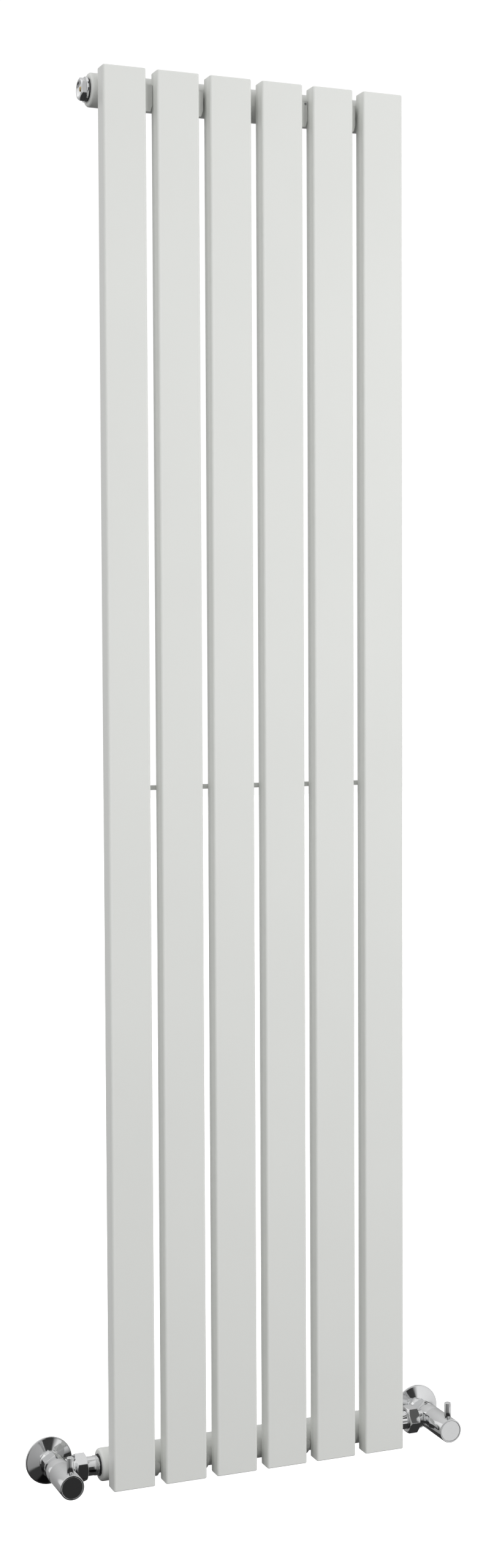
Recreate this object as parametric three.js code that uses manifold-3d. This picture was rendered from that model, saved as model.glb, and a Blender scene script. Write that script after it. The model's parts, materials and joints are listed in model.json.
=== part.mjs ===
// Vertical flat-panel radiator with a pair of angled valves, a bleed vent and its wall brackets.
// Millimetres. X runs to the right along the wall, +Y goes into the wall, +Z is up.
// The wall is the plane y = 0, and the origin lies on it, midway between the two headers.

import * as THREE from 'three';
import { mergeVertices } from 'three/addons/utils/BufferGeometryUtils.js';
import Module from 'manifold-3d';

// ---------------------------------------------------------------- driving dimensions

const PANEL_COUNT = 6;
const PANEL_PITCH = 59;
const PANEL_WIDTH = 47;
const PANEL_DEPTH = 20;
const PANEL_HEIGHT = 1500;
const PANEL_EDGE_RADIUS = 2.5;
const PANEL_WALL = 1.5;

const HEADER_RADIUS = 17.5;
const HEADER_WALL = 2;
const HEADER_INSET = 18; // header axis to the end of the panels
const HEADER_TO_WALL = 34.5; // header axis to the wall
const WATERWAY_RADIUS = 6; // hole from header to panel
const MID_RAIL = 5;

const SOCKET_END = 176; // end face of a socket from the middle of the radiator
const SOCKET_LENGTH = 15;
const SOCKET_BORE = 10.5;

const BRACKET_SHEET = 2.5;
const BRACKET_PLATE_HEIGHT = 24;
const TOP_PLATE_BOTTOM = -8; // lower edges of the wall plates, from the header's axis
const BOTTOM_PLATE_BOTTOM = -24;
const BRACKET_HOLE_RADIUS = 2.75;
const BRACKET_HOLE_OFFSET = 16; // from the middle of the plate
const BRACKET_HOLE_RISE = 12; // above the plate's lower edge
const ARM_OFFSET = 28.4; // arms either side of the plate's middle, so that they straddle a panel
const ARM_WIDTH = 5.2;
const FINGER_WIDTH = 9;
const TOP_FINGER_THICKNESS = 3;
const TOP_FINGER_FRONT = 57.8; // from the wall
const TOP_FINGER_TIP = -22.5; // heights of the fingers from the header's axis
const TOP_FINGER_SHOULDER = -16;
const TOP_FINGER_END = 5;
const BOTTOM_FINGER_END = 1.5;
const LOCK_SCREW_RADIUS = 1;
const LOCK_SCREW_OFFSET = 26; // from the middle of the plate
const LOCK_SCREW_HEIGHT = 2; // above the header's axis

const FLANGE_RADIUS = 13; // flange of the vent and of the blanking plug
const VENT_ACROSS_FLATS = 21;
const VENT_LENGTH = 9.4; // from the socket's end face
const BLEED_RADIUS = 2.5;
const KEY_CORNER_RADIUS = 5.8; // hexagon key socket of the blanking plug

const VALVE_REACH = 46; // valve axis to the socket's end face
const VALVE_RADIUS = 13.2; // plain barrel of body and handle
const PIPE_RADIUS = 7.5;
const PIPE_WALL = 1;
const UNION_ACROSS_FLATS = 28;
const COMPRESSION_ACROSS_FLATS = 24;
const COLLAR_RADIUS = 26;
const HANDLE_FRONT = 88; // front of the handle from the wall
const PIN_RADIUS = 3.7;
const PIN_FOOT = 9.8; // foot and top of the lever pin above the valve axis
const PIN_TOP = 30.5;
const SPINDLE_RADIUS = 3;

const GAP = 0.3; // clearance kept between pieces that touch
const FINE = 20; // segments round a large turned piece
const MEDIUM = 14;
const COARSE = 10;

// ---------------------------------------------------------------- derived places

const PANEL_BACK = HEADER_TO_WALL + HEADER_RADIUS + GAP; // from the wall
const PANEL_MIDDLE = PANEL_BACK + PANEL_DEPTH / 2;
const HEADER_HEIGHT = PANEL_HEIGHT / 2 - HEADER_INSET;
const HEADER_END = SOCKET_END - SOCKET_LENGTH - GAP;
const VALVE_X = SOCKET_END + VALVE_REACH;
const BRACKET_X = 1.5 * PANEL_PITCH; // behind the second panel from each side
const ARM_INSIDE = HEADER_RADIUS + GAP; // upper and lower face of an arm below the header's axis
const ARM_OUTSIDE = ARM_INSIDE + BRACKET_SHEET;
const THREAD_RADIUS = SOCKET_BORE - 0.4;

// ---------------------------------------------------------------- materials

function finish(color, roughness, metalness) {
  return new THREE.MeshStandardMaterial({ color, roughness, metalness });
}

const finishes = {
  enamel: () => finish(0xe8eae6, 0.38, 0.0),
  bracketCoat: () => finish(0xdfe2dd, 0.5, 0.0),
  chrome: () => finish(0xd9dbdd, 0.08, 1.0),
  rubber: () => finish(0x151515, 0.75, 0.0),
  brass: () => finish(0xb8964e, 0.3, 1.0),
  steel: () => finish(0x8d9093, 0.35, 1.0),
};

// ---------------------------------------------------------------- solids and booleans

const wasm = await Module();
wasm.setup();

function signedVolume(geometry) {
  const position = geometry.getAttribute('position');
  const corners = [new THREE.Vector3(), new THREE.Vector3(), new THREE.Vector3()];
  let volume = 0;
  for (let i = 0; i < geometry.index.count; i += 3) {
    corners.forEach((corner, k) => corner.fromBufferAttribute(position, geometry.index.getX(i + k)));
    volume += corners[0].dot(corners[1].clone().cross(corners[2])) / 6;
  }
  return volume;
}

// Merge a geometry's shared corners, drop the empty triangles and turn all faces outwards.
function weld(geometry) {
  const bare = geometry.clone();
  bare.deleteAttribute('normal');
  bare.deleteAttribute('uv');
  const merged = mergeVertices(bare, 1e-4);
  const corners = Array.from(merged.index.array);
  const kept = [];
  for (let i = 0; i < corners.length; i += 3) {
    const [a, b, c] = corners.slice(i, i + 3);
    if (a !== b && b !== c && c !== a) kept.push(a, b, c);
  }
  merged.setIndex(kept);
  if (signedVolume(merged) < 0) merged.setIndex(kept.reverse());
  return merged;
}

function toSolid(geometry) {
  const closed = weld(geometry);
  return new wasm.Manifold(new wasm.Mesh({
    numProp: 3,
    vertProperties: new Float32Array(closed.getAttribute('position').array),
    triVerts: new Uint32Array(closed.index.array),
  }));
}

function toGeometry(solid) {
  const mesh = solid.getMesh();
  const geometry = new THREE.BufferGeometry();
  geometry.setAttribute('position', new THREE.BufferAttribute(mesh.vertProperties, mesh.numProp));
  geometry.setIndex(new THREE.BufferAttribute(mesh.triVerts, 1));
  return geometry;
}

function join(...geometries) {
  return toGeometry(geometries.map(toSolid).reduce((whole, piece) => whole.add(piece)));
}

function cut(geometry, ...tools) {
  return toGeometry(tools.map(toSolid).reduce((whole, tool) => whole.subtract(tool), toSolid(geometry)));
}

function common(geometry, other) {
  return toGeometry(toSolid(geometry).intersect(toSolid(other)));
}

// ---------------------------------------------------------------- shape helpers

// A turned piece. Its profile is a list of [distance along the axis, radius], and the axis runs
// from the origin along one of the directions below.
const directions = {
  right: (geometry) => geometry.rotateZ(-Math.PI / 2),
  left: (geometry) => geometry.rotateZ(Math.PI / 2),
  out: (geometry) => geometry.rotateX(Math.PI),
  up: (geometry) => geometry.rotateX(Math.PI / 2),
};

function turned(profile, direction, segments = FINE) {
  const points = profile.map(([along, radius]) => new THREE.Vector2(radius, along));
  return directions[direction](new THREE.LatheGeometry(points, segments));
}

// A solid of revolution from the axis out and back to it.
function turnedSolid(profile, direction, segments) {
  return turned([[profile[0][0], 0], ...profile, [profile.at(-1)[0], 0]], direction, segments);
}

// A ring whose profile closes on itself.
function turnedRing(profile, direction, segments) {
  return turned([...profile, profile[0]], direction, segments);
}

function rod(from, to, radius, direction, segments) {
  return turnedSolid([[from, radius], [to, radius]], direction, segments);
}

function sealRing(along, ringRadius, cordRadius, direction, segments = FINE) {
  const facets = 6;
  const profile = [];
  for (let i = 0; i < facets; i += 1) {
    const angle = (2 * Math.PI * i) / facets;
    profile.push([along + cordRadius * Math.sin(angle), ringRadius + cordRadius * Math.cos(angle)]);
  }
  return turnedRing(profile, direction, segments);
}

// A hexagon with its two ends chamfered, along the given direction.
function hexagon(from, to, acrossFlats, direction, turn = 0) {
  const corner = acrossFlats / Math.sqrt(3);
  const prism = new THREE.CylinderGeometry(corner, corner, to - from, 6);
  prism.rotateY(turn);
  prism.translate(0, (from + to) / 2, 0);
  directions[direction](prism);
  const chamfer = corner - acrossFlats / 2;
  const envelope = turnedSolid([
    [from, corner - chamfer],
    [from + chamfer * 0.6, corner],
    [to - chamfer * 0.6, corner],
    [to, corner - chamfer],
  ], direction);
  return common(prism, envelope);
}

function roundedRectangle(width, depth, radius) {
  const shape = new THREE.Shape();
  const x = width / 2 - radius;
  const y = depth / 2 - radius;
  shape.absarc(x, y, radius, 0, Math.PI / 2);
  shape.absarc(-x, y, radius, Math.PI / 2, Math.PI);
  shape.absarc(-x, -y, radius, Math.PI, 1.5 * Math.PI);
  shape.absarc(x, -y, radius, 1.5 * Math.PI, 2 * Math.PI);
  shape.closePath();
  return shape;
}

function extruded(shape, depth, curveSegments = 3) {
  return new THREE.ExtrudeGeometry(shape, { depth, bevelEnabled: false, curveSegments });
}

// A box given by its lowest and highest corners.
function block([x0, y0, z0], [x1, y1, z1]) {
  const box = new THREE.BoxGeometry(x1 - x0, y1 - y0, z1 - z0);
  return box.translate((x0 + x1) / 2, (y0 + y1) / 2, (z0 + z1) / 2);
}

// ---------------------------------------------------------------- assembly

const radiator = new THREE.Group();

function addPiece(parent, name, geometry, finishName) {
  const mesh = new THREE.Mesh(weld(geometry), finishes[finishName]());
  mesh.name = name;
  parent.add(mesh);
  return mesh;
}

// ---------------------------------------------------------------- panels, headers and rail

function panelCentre(index) {
  return (index - (PANEL_COUNT - 1) / 2) * PANEL_PITCH;
}

// A flat tube, closed at both ends, with a waterway into each header.
function panelGeometry() {
  const height = PANEL_HEIGHT;
  const outside = extruded(roundedRectangle(PANEL_WIDTH, PANEL_DEPTH, PANEL_EDGE_RADIUS), height);
  outside.translate(0, 0, -height / 2);
  const halfX = PANEL_WIDTH / 2 - PANEL_WALL;
  const halfY = PANEL_DEPTH / 2 - PANEL_WALL;
  const halfZ = height / 2 - PANEL_WALL;
  const inside = block([-halfX, -halfY, -halfZ], [halfX, halfY, halfZ]);
  const waterways = [-HEADER_HEIGHT, HEADER_HEIGHT].map((z) => {
    const hole = new THREE.CylinderGeometry(WATERWAY_RADIUS, WATERWAY_RADIUS, PANEL_DEPTH, COARSE);
    return hole.translate(0, PANEL_DEPTH / 2 + PANEL_WALL, z);
  });
  return cut(outside, inside, ...waterways);
}

for (let i = 0; i < PANEL_COUNT; i += 1) {
  const panel = addPiece(radiator, `panel_${i + 1}`, panelGeometry(), 'enamel');
  panel.position.set(panelCentre(i), -PANEL_MIDDLE, 0);
}

// A round tube across the backs of the panels, open at both ends, with a waterway to each panel.
function headerGeometry() {
  const bore = HEADER_RADIUS - HEADER_WALL;
  const tube = turnedRing([
    [-HEADER_END, bore],
    [HEADER_END, bore],
    [HEADER_END, HEADER_RADIUS],
    [-HEADER_END, HEADER_RADIUS],
  ], 'right');
  const waterways = [];
  for (let i = 0; i < PANEL_COUNT; i += 1) {
    const hole = new THREE.CylinderGeometry(WATERWAY_RADIUS, WATERWAY_RADIUS, HEADER_RADIUS * 2, COARSE);
    waterways.push(hole.translate(panelCentre(i), -HEADER_RADIUS, 0));
  }
  return cut(tube, ...waterways);
}

// A welded socket that closes a header's end and carries the pipe thread.
function socketGeometry(direction) {
  const round = 3;
  const spigotLength = 6;
  const spigot = HEADER_RADIUS - HEADER_WALL - GAP;
  const start = SOCKET_END - SOCKET_LENGTH;
  const edge = [0, 1, 2].map((step) => {
    const angle = (step / 2) * (Math.PI / 2);
    return [
      SOCKET_END - round + round * Math.sin(angle),
      HEADER_RADIUS - round + round * Math.cos(angle),
    ];
  });
  return turnedRing([
    [start - spigotLength, SOCKET_BORE],
    [start - spigotLength, spigot],
    [start, spigot],
    [start, HEADER_RADIUS],
    ...edge,
    [SOCKET_END, SOCKET_BORE],
  ], direction);
}

const levels = { top: HEADER_HEIGHT, bottom: -HEADER_HEIGHT };
const sides = { left: -1, right: 1 };

for (const [level, height] of Object.entries(levels)) {
  const header = addPiece(radiator, `${level}_header`, headerGeometry(), 'enamel');
  header.position.set(0, -HEADER_TO_WALL, height);
  for (const side of Object.keys(sides)) {
    const socket = addPiece(radiator, `${level}_${side}_socket`, socketGeometry(side), 'enamel');
    socket.position.set(0, -HEADER_TO_WALL, height);
  }
}

const railInset = 6;
const railEnd = panelCentre(PANEL_COUNT - 1) + PANEL_WIDTH / 2 - railInset;
addPiece(radiator, 'mid_rail', block(
  [-railEnd, -(PANEL_BACK - GAP), -MID_RAIL / 2],
  [railEnd, -(PANEL_BACK - GAP - MID_RAIL), MID_RAIL / 2],
), 'enamel');

// ---------------------------------------------------------------- wall brackets

// A plate on the wall with two fixing holes and, at each end, the pieces of an arm that carries
// the header from below. Heights here are from the header's axis.
function bracketGeometry(plateBottom, armPieces) {
  const plateHalf = ARM_OFFSET + FINGER_WIDTH / 2;
  const plate = block(
    [-plateHalf, -BRACKET_SHEET, plateBottom],
    [plateHalf, 0, plateBottom + BRACKET_PLATE_HEIGHT],
  );
  const holes = [-1, 1].map((side) => {
    const hole = rod(-1, BRACKET_SHEET + 1, BRACKET_HOLE_RADIUS, 'out', COARSE);
    return hole.translate(side * BRACKET_HOLE_OFFSET, 0, plateBottom + BRACKET_HOLE_RISE);
  });
  const arms = [-ARM_OFFSET, ARM_OFFSET].flatMap(
    (x) => armPieces().map((piece) => piece.translate(x, 0, 0)),
  );
  return cut(join(plate, ...arms), ...holes);
}

// An upper arm: a leg down from the plate, a straight bar under the header and an upright finger
// in front of it, with a tapered tip below.
function topArmPieces() {
  const half = ARM_WIDTH / 2;
  const overlap = 1;
  const leg = block([-half, -BRACKET_SHEET, -ARM_OUTSIDE], [half, 0, TOP_PLATE_BOTTOM + overlap]);
  const bar = block([-half, overlap - TOP_FINGER_FRONT, -ARM_OUTSIDE], [half, 0, -ARM_INSIDE]);
  const wide = FINGER_WIDTH / 2;
  const tip = 2.4;
  const outline = new THREE.Shape([
    new THREE.Vector2(-tip, TOP_FINGER_TIP),
    new THREE.Vector2(tip, TOP_FINGER_TIP),
    new THREE.Vector2(wide, TOP_FINGER_SHOULDER),
    new THREE.Vector2(wide, TOP_FINGER_END),
    new THREE.Vector2(-wide, TOP_FINGER_END),
    new THREE.Vector2(-wide, TOP_FINGER_SHOULDER),
  ]);
  const finger = extruded(outline, TOP_FINGER_THICKNESS);
  finger.rotateX(Math.PI / 2);
  finger.translate(0, TOP_FINGER_THICKNESS - TOP_FINGER_FRONT, 0);
  return [leg, bar, finger];
}

// A lower arm: a strap bent closely round the header from below, with a rounded end.
function bottomArmPieces() {
  const bendSegments = 9;
  const side = new THREE.Shape();
  side.moveTo(0, -ARM_INSIDE);
  side.lineTo(HEADER_TO_WALL, -ARM_INSIDE);
  side.absarc(HEADER_TO_WALL, 0, ARM_INSIDE, -Math.PI / 2, 0);
  side.lineTo(HEADER_TO_WALL + ARM_INSIDE, BOTTOM_FINGER_END + 1);
  side.lineTo(HEADER_TO_WALL + ARM_OUTSIDE, BOTTOM_FINGER_END + 1);
  side.lineTo(HEADER_TO_WALL + ARM_OUTSIDE, 0);
  side.absarc(HEADER_TO_WALL, 0, ARM_OUTSIDE, 0, -Math.PI / 2, true);
  side.lineTo(0, -ARM_OUTSIDE);
  side.closePath();
  const strap = extruded(side, FINGER_WIDTH, bendSegments);
  strap.applyMatrix4(new THREE.Matrix4().makeBasis(
    new THREE.Vector3(0, -1, 0),
    new THREE.Vector3(0, 0, 1),
    new THREE.Vector3(-1, 0, 0),
  ));
  const half = FINGER_WIDTH / 2;
  strap.translate(half, 0, 0);
  const margin = 1;
  const front = new THREE.Shape();
  front.moveTo(-half - margin, -ARM_OUTSIDE - margin);
  front.lineTo(half + margin, -ARM_OUTSIDE - margin);
  front.lineTo(half + margin, BOTTOM_FINGER_END - half);
  front.lineTo(half, BOTTOM_FINGER_END - half);
  front.absarc(0, BOTTOM_FINGER_END - half, half, 0, Math.PI);
  front.lineTo(-half - margin, BOTTOM_FINGER_END - half);
  front.closePath();
  const roundedEnd = extruded(front, HEADER_TO_WALL + ARM_OUTSIDE + 2 * margin, bendSegments);
  roundedEnd.rotateX(Math.PI / 2);
  roundedEnd.translate(0, margin, 0);
  return [common(strap, roundedEnd)];
}

// A short grub screw with a key socket, which keeps the header in its bracket.
function lockScrewGeometry() {
  const front = TOP_FINGER_FRONT + 0.4;
  const point = HEADER_TO_WALL + HEADER_RADIUS + 0.4;
  const keyRadius = 0.5;
  const keyDepth = 1;
  return turnedSolid([
    [point, LOCK_SCREW_RADIUS - 0.4],
    [point + 0.4, LOCK_SCREW_RADIUS],
    [front, LOCK_SCREW_RADIUS],
    [front, keyRadius],
    [front - keyDepth, keyRadius],
  ], 'out', COARSE);
}

for (const [side, sign] of Object.entries(sides)) {
  // The lock screw sits in the finger nearer the middle, off its centre line.
  const lockX = -sign * LOCK_SCREW_OFFSET;
  const lockHole = rod(
    TOP_FINGER_FRONT - TOP_FINGER_THICKNESS - 1,
    TOP_FINGER_FRONT + 1,
    LOCK_SCREW_RADIUS + GAP,
    'out',
    COARSE,
  ).translate(lockX, 0, LOCK_SCREW_HEIGHT);
  const top = cut(bracketGeometry(TOP_PLATE_BOTTOM, topArmPieces), lockHole);
  const topBracket = addPiece(radiator, `top_${side}_bracket`, top, 'bracketCoat');
  topBracket.position.set(sign * BRACKET_X, 0, HEADER_HEIGHT);

  const bottom = bracketGeometry(BOTTOM_PLATE_BOTTOM, bottomArmPieces);
  const bottomBracket = addPiece(radiator, `bottom_${side}_bracket`, bottom, 'bracketCoat');
  bottomBracket.position.set(sign * BRACKET_X, 0, -HEADER_HEIGHT);

  const lockScrew = addPiece(radiator, `top_${side}_lock_screw`, lockScrewGeometry(), 'steel');
  lockScrew.position.set(sign * BRACKET_X + lockX, 0, HEADER_HEIGHT + LOCK_SCREW_HEIGHT);
}

// ---------------------------------------------------------------- vent and blanking plug

// Distances from the middle of the radiator along the header's axis.
const PLUG_START = SOCKET_END - 11;
const PLUG_SEAL = SOCKET_END + 0.8;
const PLUG_FLANGE = SOCKET_END + 1.6;
const VENT_END = SOCKET_END + VENT_LENGTH;
const BLANK_END = PLUG_FLANGE + 3;
const SEAL_RING = 10.9;
const SEAL_CORD = 0.5;
const SEAL_GROOVE = 9.8;

// The thread, the seal's groove and the flange that both plugs have.
function plugBlank(end, direction) {
  return turnedSolid([
    [PLUG_START, THREAD_RADIUS - 0.8],
    [PLUG_START + 0.8, THREAD_RADIUS],
    [SOCKET_END - GAP, THREAD_RADIUS],
    [SOCKET_END - GAP, SEAL_GROOVE],
    [PLUG_FLANGE, SEAL_GROOVE],
    [PLUG_FLANGE, FLANGE_RADIUS],
    [end - 0.6, FLANGE_RADIUS],
    [end, FLANGE_RADIUS - 0.6],
  ], direction);
}

const topPlugs = new THREE.Group();
topPlugs.position.set(0, -HEADER_TO_WALL, HEADER_HEIGHT);
radiator.add(topPlugs);

// The vent, at the top left: flange, hexagon, a dished face and the bleed screw in its middle.
const airHoleRadius = 1.2;
const bleedSeat = SOCKET_END - 6;
const dishFloor = VENT_END - 2.6;
const ventBlank = plugBlank(PLUG_FLANGE + 2.4, 'left');
const ventHexagon = hexagon(PLUG_FLANGE + 1, VENT_END, VENT_ACROSS_FLATS, 'left', Math.PI / 6);
const ventBore = turnedSolid([
  [PLUG_START - 1, airHoleRadius],
  [bleedSeat, airHoleRadius],
  [bleedSeat, BLEED_RADIUS + 0.4],
  [dishFloor, BLEED_RADIUS + 0.4],
  [dishFloor, 6.4],
  [VENT_END + 1, 8.4],
], 'left', MEDIUM);
addPiece(topPlugs, 'vent_plug', cut(join(ventBlank, ventHexagon), ventBore), 'chrome');
addPiece(topPlugs, 'vent_seal', sealRing(PLUG_SEAL, SEAL_RING, SEAL_CORD, 'left'), 'rubber');

const bleedShank = turnedSolid([
  [bleedSeat + 0.4, 0.6],
  [bleedSeat + 1.8, BLEED_RADIUS],
  [VENT_END - 1.3, BLEED_RADIUS],
  [VENT_END - 1, BLEED_RADIUS - 0.3],
], 'left', COARSE);
const bleedSlot = block([-(VENT_END + 1), -0.5, -5], [-(VENT_END - 2.2), 0.5, 5]);
addPiece(topPlugs, 'bleed_screw', cut(bleedShank, bleedSlot), 'brass');

// The blanking plug, at the top right, driven by a hexagon key.
const keyDepth = 2;
const keySocket = new THREE.CylinderGeometry(KEY_CORNER_RADIUS, KEY_CORNER_RADIUS, 2 * keyDepth, 6);
keySocket.rotateZ(Math.PI / 2);
keySocket.translate(BLANK_END, 0, 0);
addPiece(topPlugs, 'blanking_plug', cut(plugBlank(BLANK_END, 'right'), keySocket), 'chrome');
addPiece(topPlugs, 'blanking_seal', sealRing(PLUG_SEAL, SEAL_RING, SEAL_CORD, 'right'), 'rubber');

// ---------------------------------------------------------------- valves

// Distances from the wall along the valve's own axis.
const COLLAR_FRONT = 8.5;
const NUT_START = 12.5;
const NUT_SHOULDER = 15.2;
const OLIVE_START = 15.5;
const OLIVE_END = 19;
const SPIGOT_START = 19.3;
const PIPE_END = 24.2;
const INLET_STEP = 24.5;
const NUT_END = 25.2;
const BODY_FLANGE_START = 25.7;
const BODY_FLANGE_END = 27.3;
const SEAT = 27.5;
const BARREL_START = 28.2;
const WASHER_FRONT = 29.3;
const JUMPER_START = WASHER_FRONT + GAP;
const JUMPER_SOCKET = 31.5;
const SPINDLE_START = 35.8;
const JUMPER_FRONT = 41;
const BONNET_START = 42;
const BODY_FRONT = 46;
const SPINDLE_COLLAR_START = 46.5;
const SPINDLE_COLLAR_END = 48.7;
const BONNET_STEP = 49;
const BONNET_SHOULDER = 49.4;
const SEAL_CHAMBER = 61.8;
const SPINDLE_SEAL = 62.8;
const BONNET_FRONT = 64;
const SPINDLE_HOLE_FLOOR = 67;
const HUB_BACK = 69.5;
const SPINDLE_FRONT = 76.7;
const HUB_FRONT = 77;
const HANDLE_START = BODY_FRONT + GAP;
const PIN_PLACE = HANDLE_FRONT - 7.5;
const CAP_SEAT = HANDLE_FRONT - 2.4;

// Radii from the valve's axis.
const CHAMBER_RADIUS = 8.5;
const JUMPER_RADIUS = 5.7;
const SEAT_RADIUS = 4.5;
const NUT_BORE = 10.95;
const SPIGOT_RADIUS = 10.6;

// Distances from the valve's axis towards the radiator along the side outlet.
const OUTLET_END = 26.2;
const OUTLET_BORE = 6;
const BRANCH_RADIUS = 8.6;
const UNION_START = 18;
const UNION_END = 30.7;
const UNION_THREAD = 12.2;
const TAIL_RADIUS = 10.2;

function supplyPipeGeometry() {
  return turnedRing([
    [0, PIPE_RADIUS - PIPE_WALL],
    [PIPE_END, PIPE_RADIUS - PIPE_WALL],
    [PIPE_END, PIPE_RADIUS],
    [0, PIPE_RADIUS],
  ], 'out', MEDIUM);
}

function wallCollarGeometry() {
  const bore = PIPE_RADIUS + 0.4;
  return turnedRing([
    [0, COLLAR_RADIUS - 1.6],
    [0, COLLAR_RADIUS - 0.4],
    [0.5, COLLAR_RADIUS],
    [1.6, COLLAR_RADIUS],
    [2.2, COLLAR_RADIUS - 0.6],
    [5.2, 10.4],
    [COLLAR_FRONT - 0.4, 9.6],
    [COLLAR_FRONT, 9.1],
    [COLLAR_FRONT, bore],
    [4.4, bore],
    [3.2, 11.4],
    [0.9, COLLAR_RADIUS - 1.9],
  ], 'out');
}

function compressionNutGeometry() {
  const bore = turnedSolid([
    [NUT_START - 1, PIPE_RADIUS + 0.4],
    [NUT_SHOULDER, PIPE_RADIUS + 0.4],
    [NUT_SHOULDER, NUT_BORE],
    [NUT_END + 1, NUT_BORE],
  ], 'out', MEDIUM);
  return cut(hexagon(NUT_START, NUT_END, COMPRESSION_ACROSS_FLATS, 'out', Math.PI / 6), bore);
}

function oliveGeometry() {
  const bore = PIPE_RADIUS + GAP;
  const edge = bore + 0.8;
  const crest = bore + 1.7;
  return turnedRing([
    [OLIVE_START, bore],
    [OLIVE_END, bore],
    [OLIVE_END, edge],
    [(OLIVE_START + OLIVE_END) / 2, crest],
    [OLIVE_START, edge],
  ], 'out', MEDIUM);
}

// The body: a plain barrel along the pipe, a threaded tail for the compression nut behind it
// and a threaded outlet at its side.
function valveBodyGeometry(outlet) {
  const barrel = turnedSolid([
    [SPIGOT_START, SPIGOT_RADIUS - 0.4],
    [SPIGOT_START + 0.4, SPIGOT_RADIUS],
    [BODY_FLANGE_START, SPIGOT_RADIUS],
    [BODY_FLANGE_START, VALVE_RADIUS - 0.55],
    [BODY_FLANGE_END, VALVE_RADIUS - 0.55],
    [BODY_FLANGE_END, VALVE_RADIUS - 1.05],
    [BARREL_START, VALVE_RADIUS - 1.05],
    [BARREL_START, VALVE_RADIUS - 0.4],
    [BARREL_START + 0.4, VALVE_RADIUS],
    [BODY_FRONT - 0.4, VALVE_RADIUS],
    [BODY_FRONT, VALVE_RADIUS - 0.4],
  ], 'out');
  const branch = turnedSolid([
    [0, BRANCH_RADIUS],
    [17.6, BRANCH_RADIUS],
    [18.8, UNION_THREAD - 0.6],
    [19.4, UNION_THREAD],
    [OUTLET_END - 0.5, UNION_THREAD],
    [OUTLET_END, UNION_THREAD - 0.5],
  ], outlet).translate(0, -HEADER_TO_WALL, 0);
  const inletBore = turnedSolid([
    [SPIGOT_START - 1, PIPE_RADIUS + GAP],
    [INLET_STEP, PIPE_RADIUS + GAP],
    [INLET_STEP, SEAT_RADIUS],
    [SEAT, SEAT_RADIUS],
    [SEAT, CHAMBER_RADIUS],
    [BODY_FRONT + 1, CHAMBER_RADIUS],
  ], 'out', MEDIUM);
  const outletBore = rod(0, OUTLET_END + 1, OUTLET_BORE, outlet, MEDIUM).translate(0, -HEADER_TO_WALL, 0);
  return cut(join(barrel, branch), inletBore, outletBore);
}

function unionNutGeometry(outlet, turn) {
  const bore = turnedSolid([
    [UNION_START - 1, UNION_THREAD + 0.4],
    [UNION_END - 1.7, UNION_THREAD + 0.4],
    [UNION_END - 1.7, TAIL_RADIUS + 0.4],
    [UNION_END + 1, TAIL_RADIUS + 0.4],
  ], outlet);
  return cut(hexagon(UNION_START, UNION_END, UNION_ACROSS_FLATS, outlet, turn), bore);
}

// The tail screws into the socket; its flange is held by the union nut.
function tailpieceGeometry(outlet) {
  const flangeStart = OUTLET_END + GAP;
  const flangeEnd = UNION_END - 2;
  return turnedRing([
    [flangeStart, OUTLET_BORE + 0.4],
    [flangeStart, UNION_THREAD],
    [flangeEnd, UNION_THREAD],
    [flangeEnd, TAIL_RADIUS],
    [VALVE_REACH - 6, TAIL_RADIUS],
    [VALVE_REACH - 6, TAIL_RADIUS + 0.4],
    [VALVE_REACH - 1.6, TAIL_RADIUS + 0.4],
    [VALVE_REACH - 1.6, SEAL_GROOVE],
    [VALVE_REACH + GAP, SEAL_GROOVE],
    [VALVE_REACH + GAP, THREAD_RADIUS],
    [VALVE_REACH + 10.2, THREAD_RADIUS],
    [VALVE_REACH + 11, THREAD_RADIUS - 0.8],
    [VALVE_REACH + 11, OUTLET_BORE + 0.4],
  ], outlet);
}

// The headwork that closes the front of the body and guides the spindle and the jumper.
function bonnetGeometry() {
  const guide = JUMPER_RADIUS + 0.4;
  const thread = CHAMBER_RADIUS - 0.4;
  const nose = 7.2;
  const sealSeat = 4.9;
  return turnedRing([
    [BONNET_START, guide],
    [BONNET_START, thread],
    [BODY_FRONT + 0.4, thread],
    [BODY_FRONT + 0.4, 11.2],
    [BONNET_SHOULDER, 11.2],
    [BONNET_SHOULDER, nose],
    [BONNET_FRONT, nose],
    [BONNET_FRONT, sealSeat],
    [SEAL_CHAMBER, sealSeat],
    [SEAL_CHAMBER, SPINDLE_RADIUS + 0.35],
    [BONNET_STEP, SPINDLE_RADIUS + 0.35],
    [BONNET_STEP, guide],
  ], 'out', MEDIUM);
}

function spindleGeometry() {
  const collar = SPINDLE_RADIUS + 2;
  const screwHole = 2.2;
  return turnedSolid([
    [SPINDLE_START, SPINDLE_RADIUS],
    [SPINDLE_COLLAR_START, SPINDLE_RADIUS],
    [SPINDLE_COLLAR_START, collar],
    [SPINDLE_COLLAR_END, collar],
    [SPINDLE_COLLAR_END, SPINDLE_RADIUS],
    [SPINDLE_FRONT, SPINDLE_RADIUS],
    [SPINDLE_FRONT, screwHole],
    [SPINDLE_HOLE_FLOOR, screwHole],
  ], 'out', COARSE);
}

function spindleSealGeometry() {
  const cord = 0.68;
  return sealRing(SPINDLE_SEAL, SPINDLE_RADIUS + 1, cord, 'out', COARSE);
}

// The jumper rides on the spindle's thread and lifts the washer off its seat.
function jumperGeometry() {
  return turnedSolid([
    [JUMPER_START, JUMPER_RADIUS],
    [JUMPER_FRONT, JUMPER_RADIUS],
    [JUMPER_FRONT, SPINDLE_RADIUS + GAP],
    [JUMPER_SOCKET, SPINDLE_RADIUS + GAP],
  ], 'out', MEDIUM);
}

function valveWasherGeometry() {
  return rod(SEAT + GAP, WASHER_FRONT, JUMPER_RADIUS + 0.5, 'out', MEDIUM);
}

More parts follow.
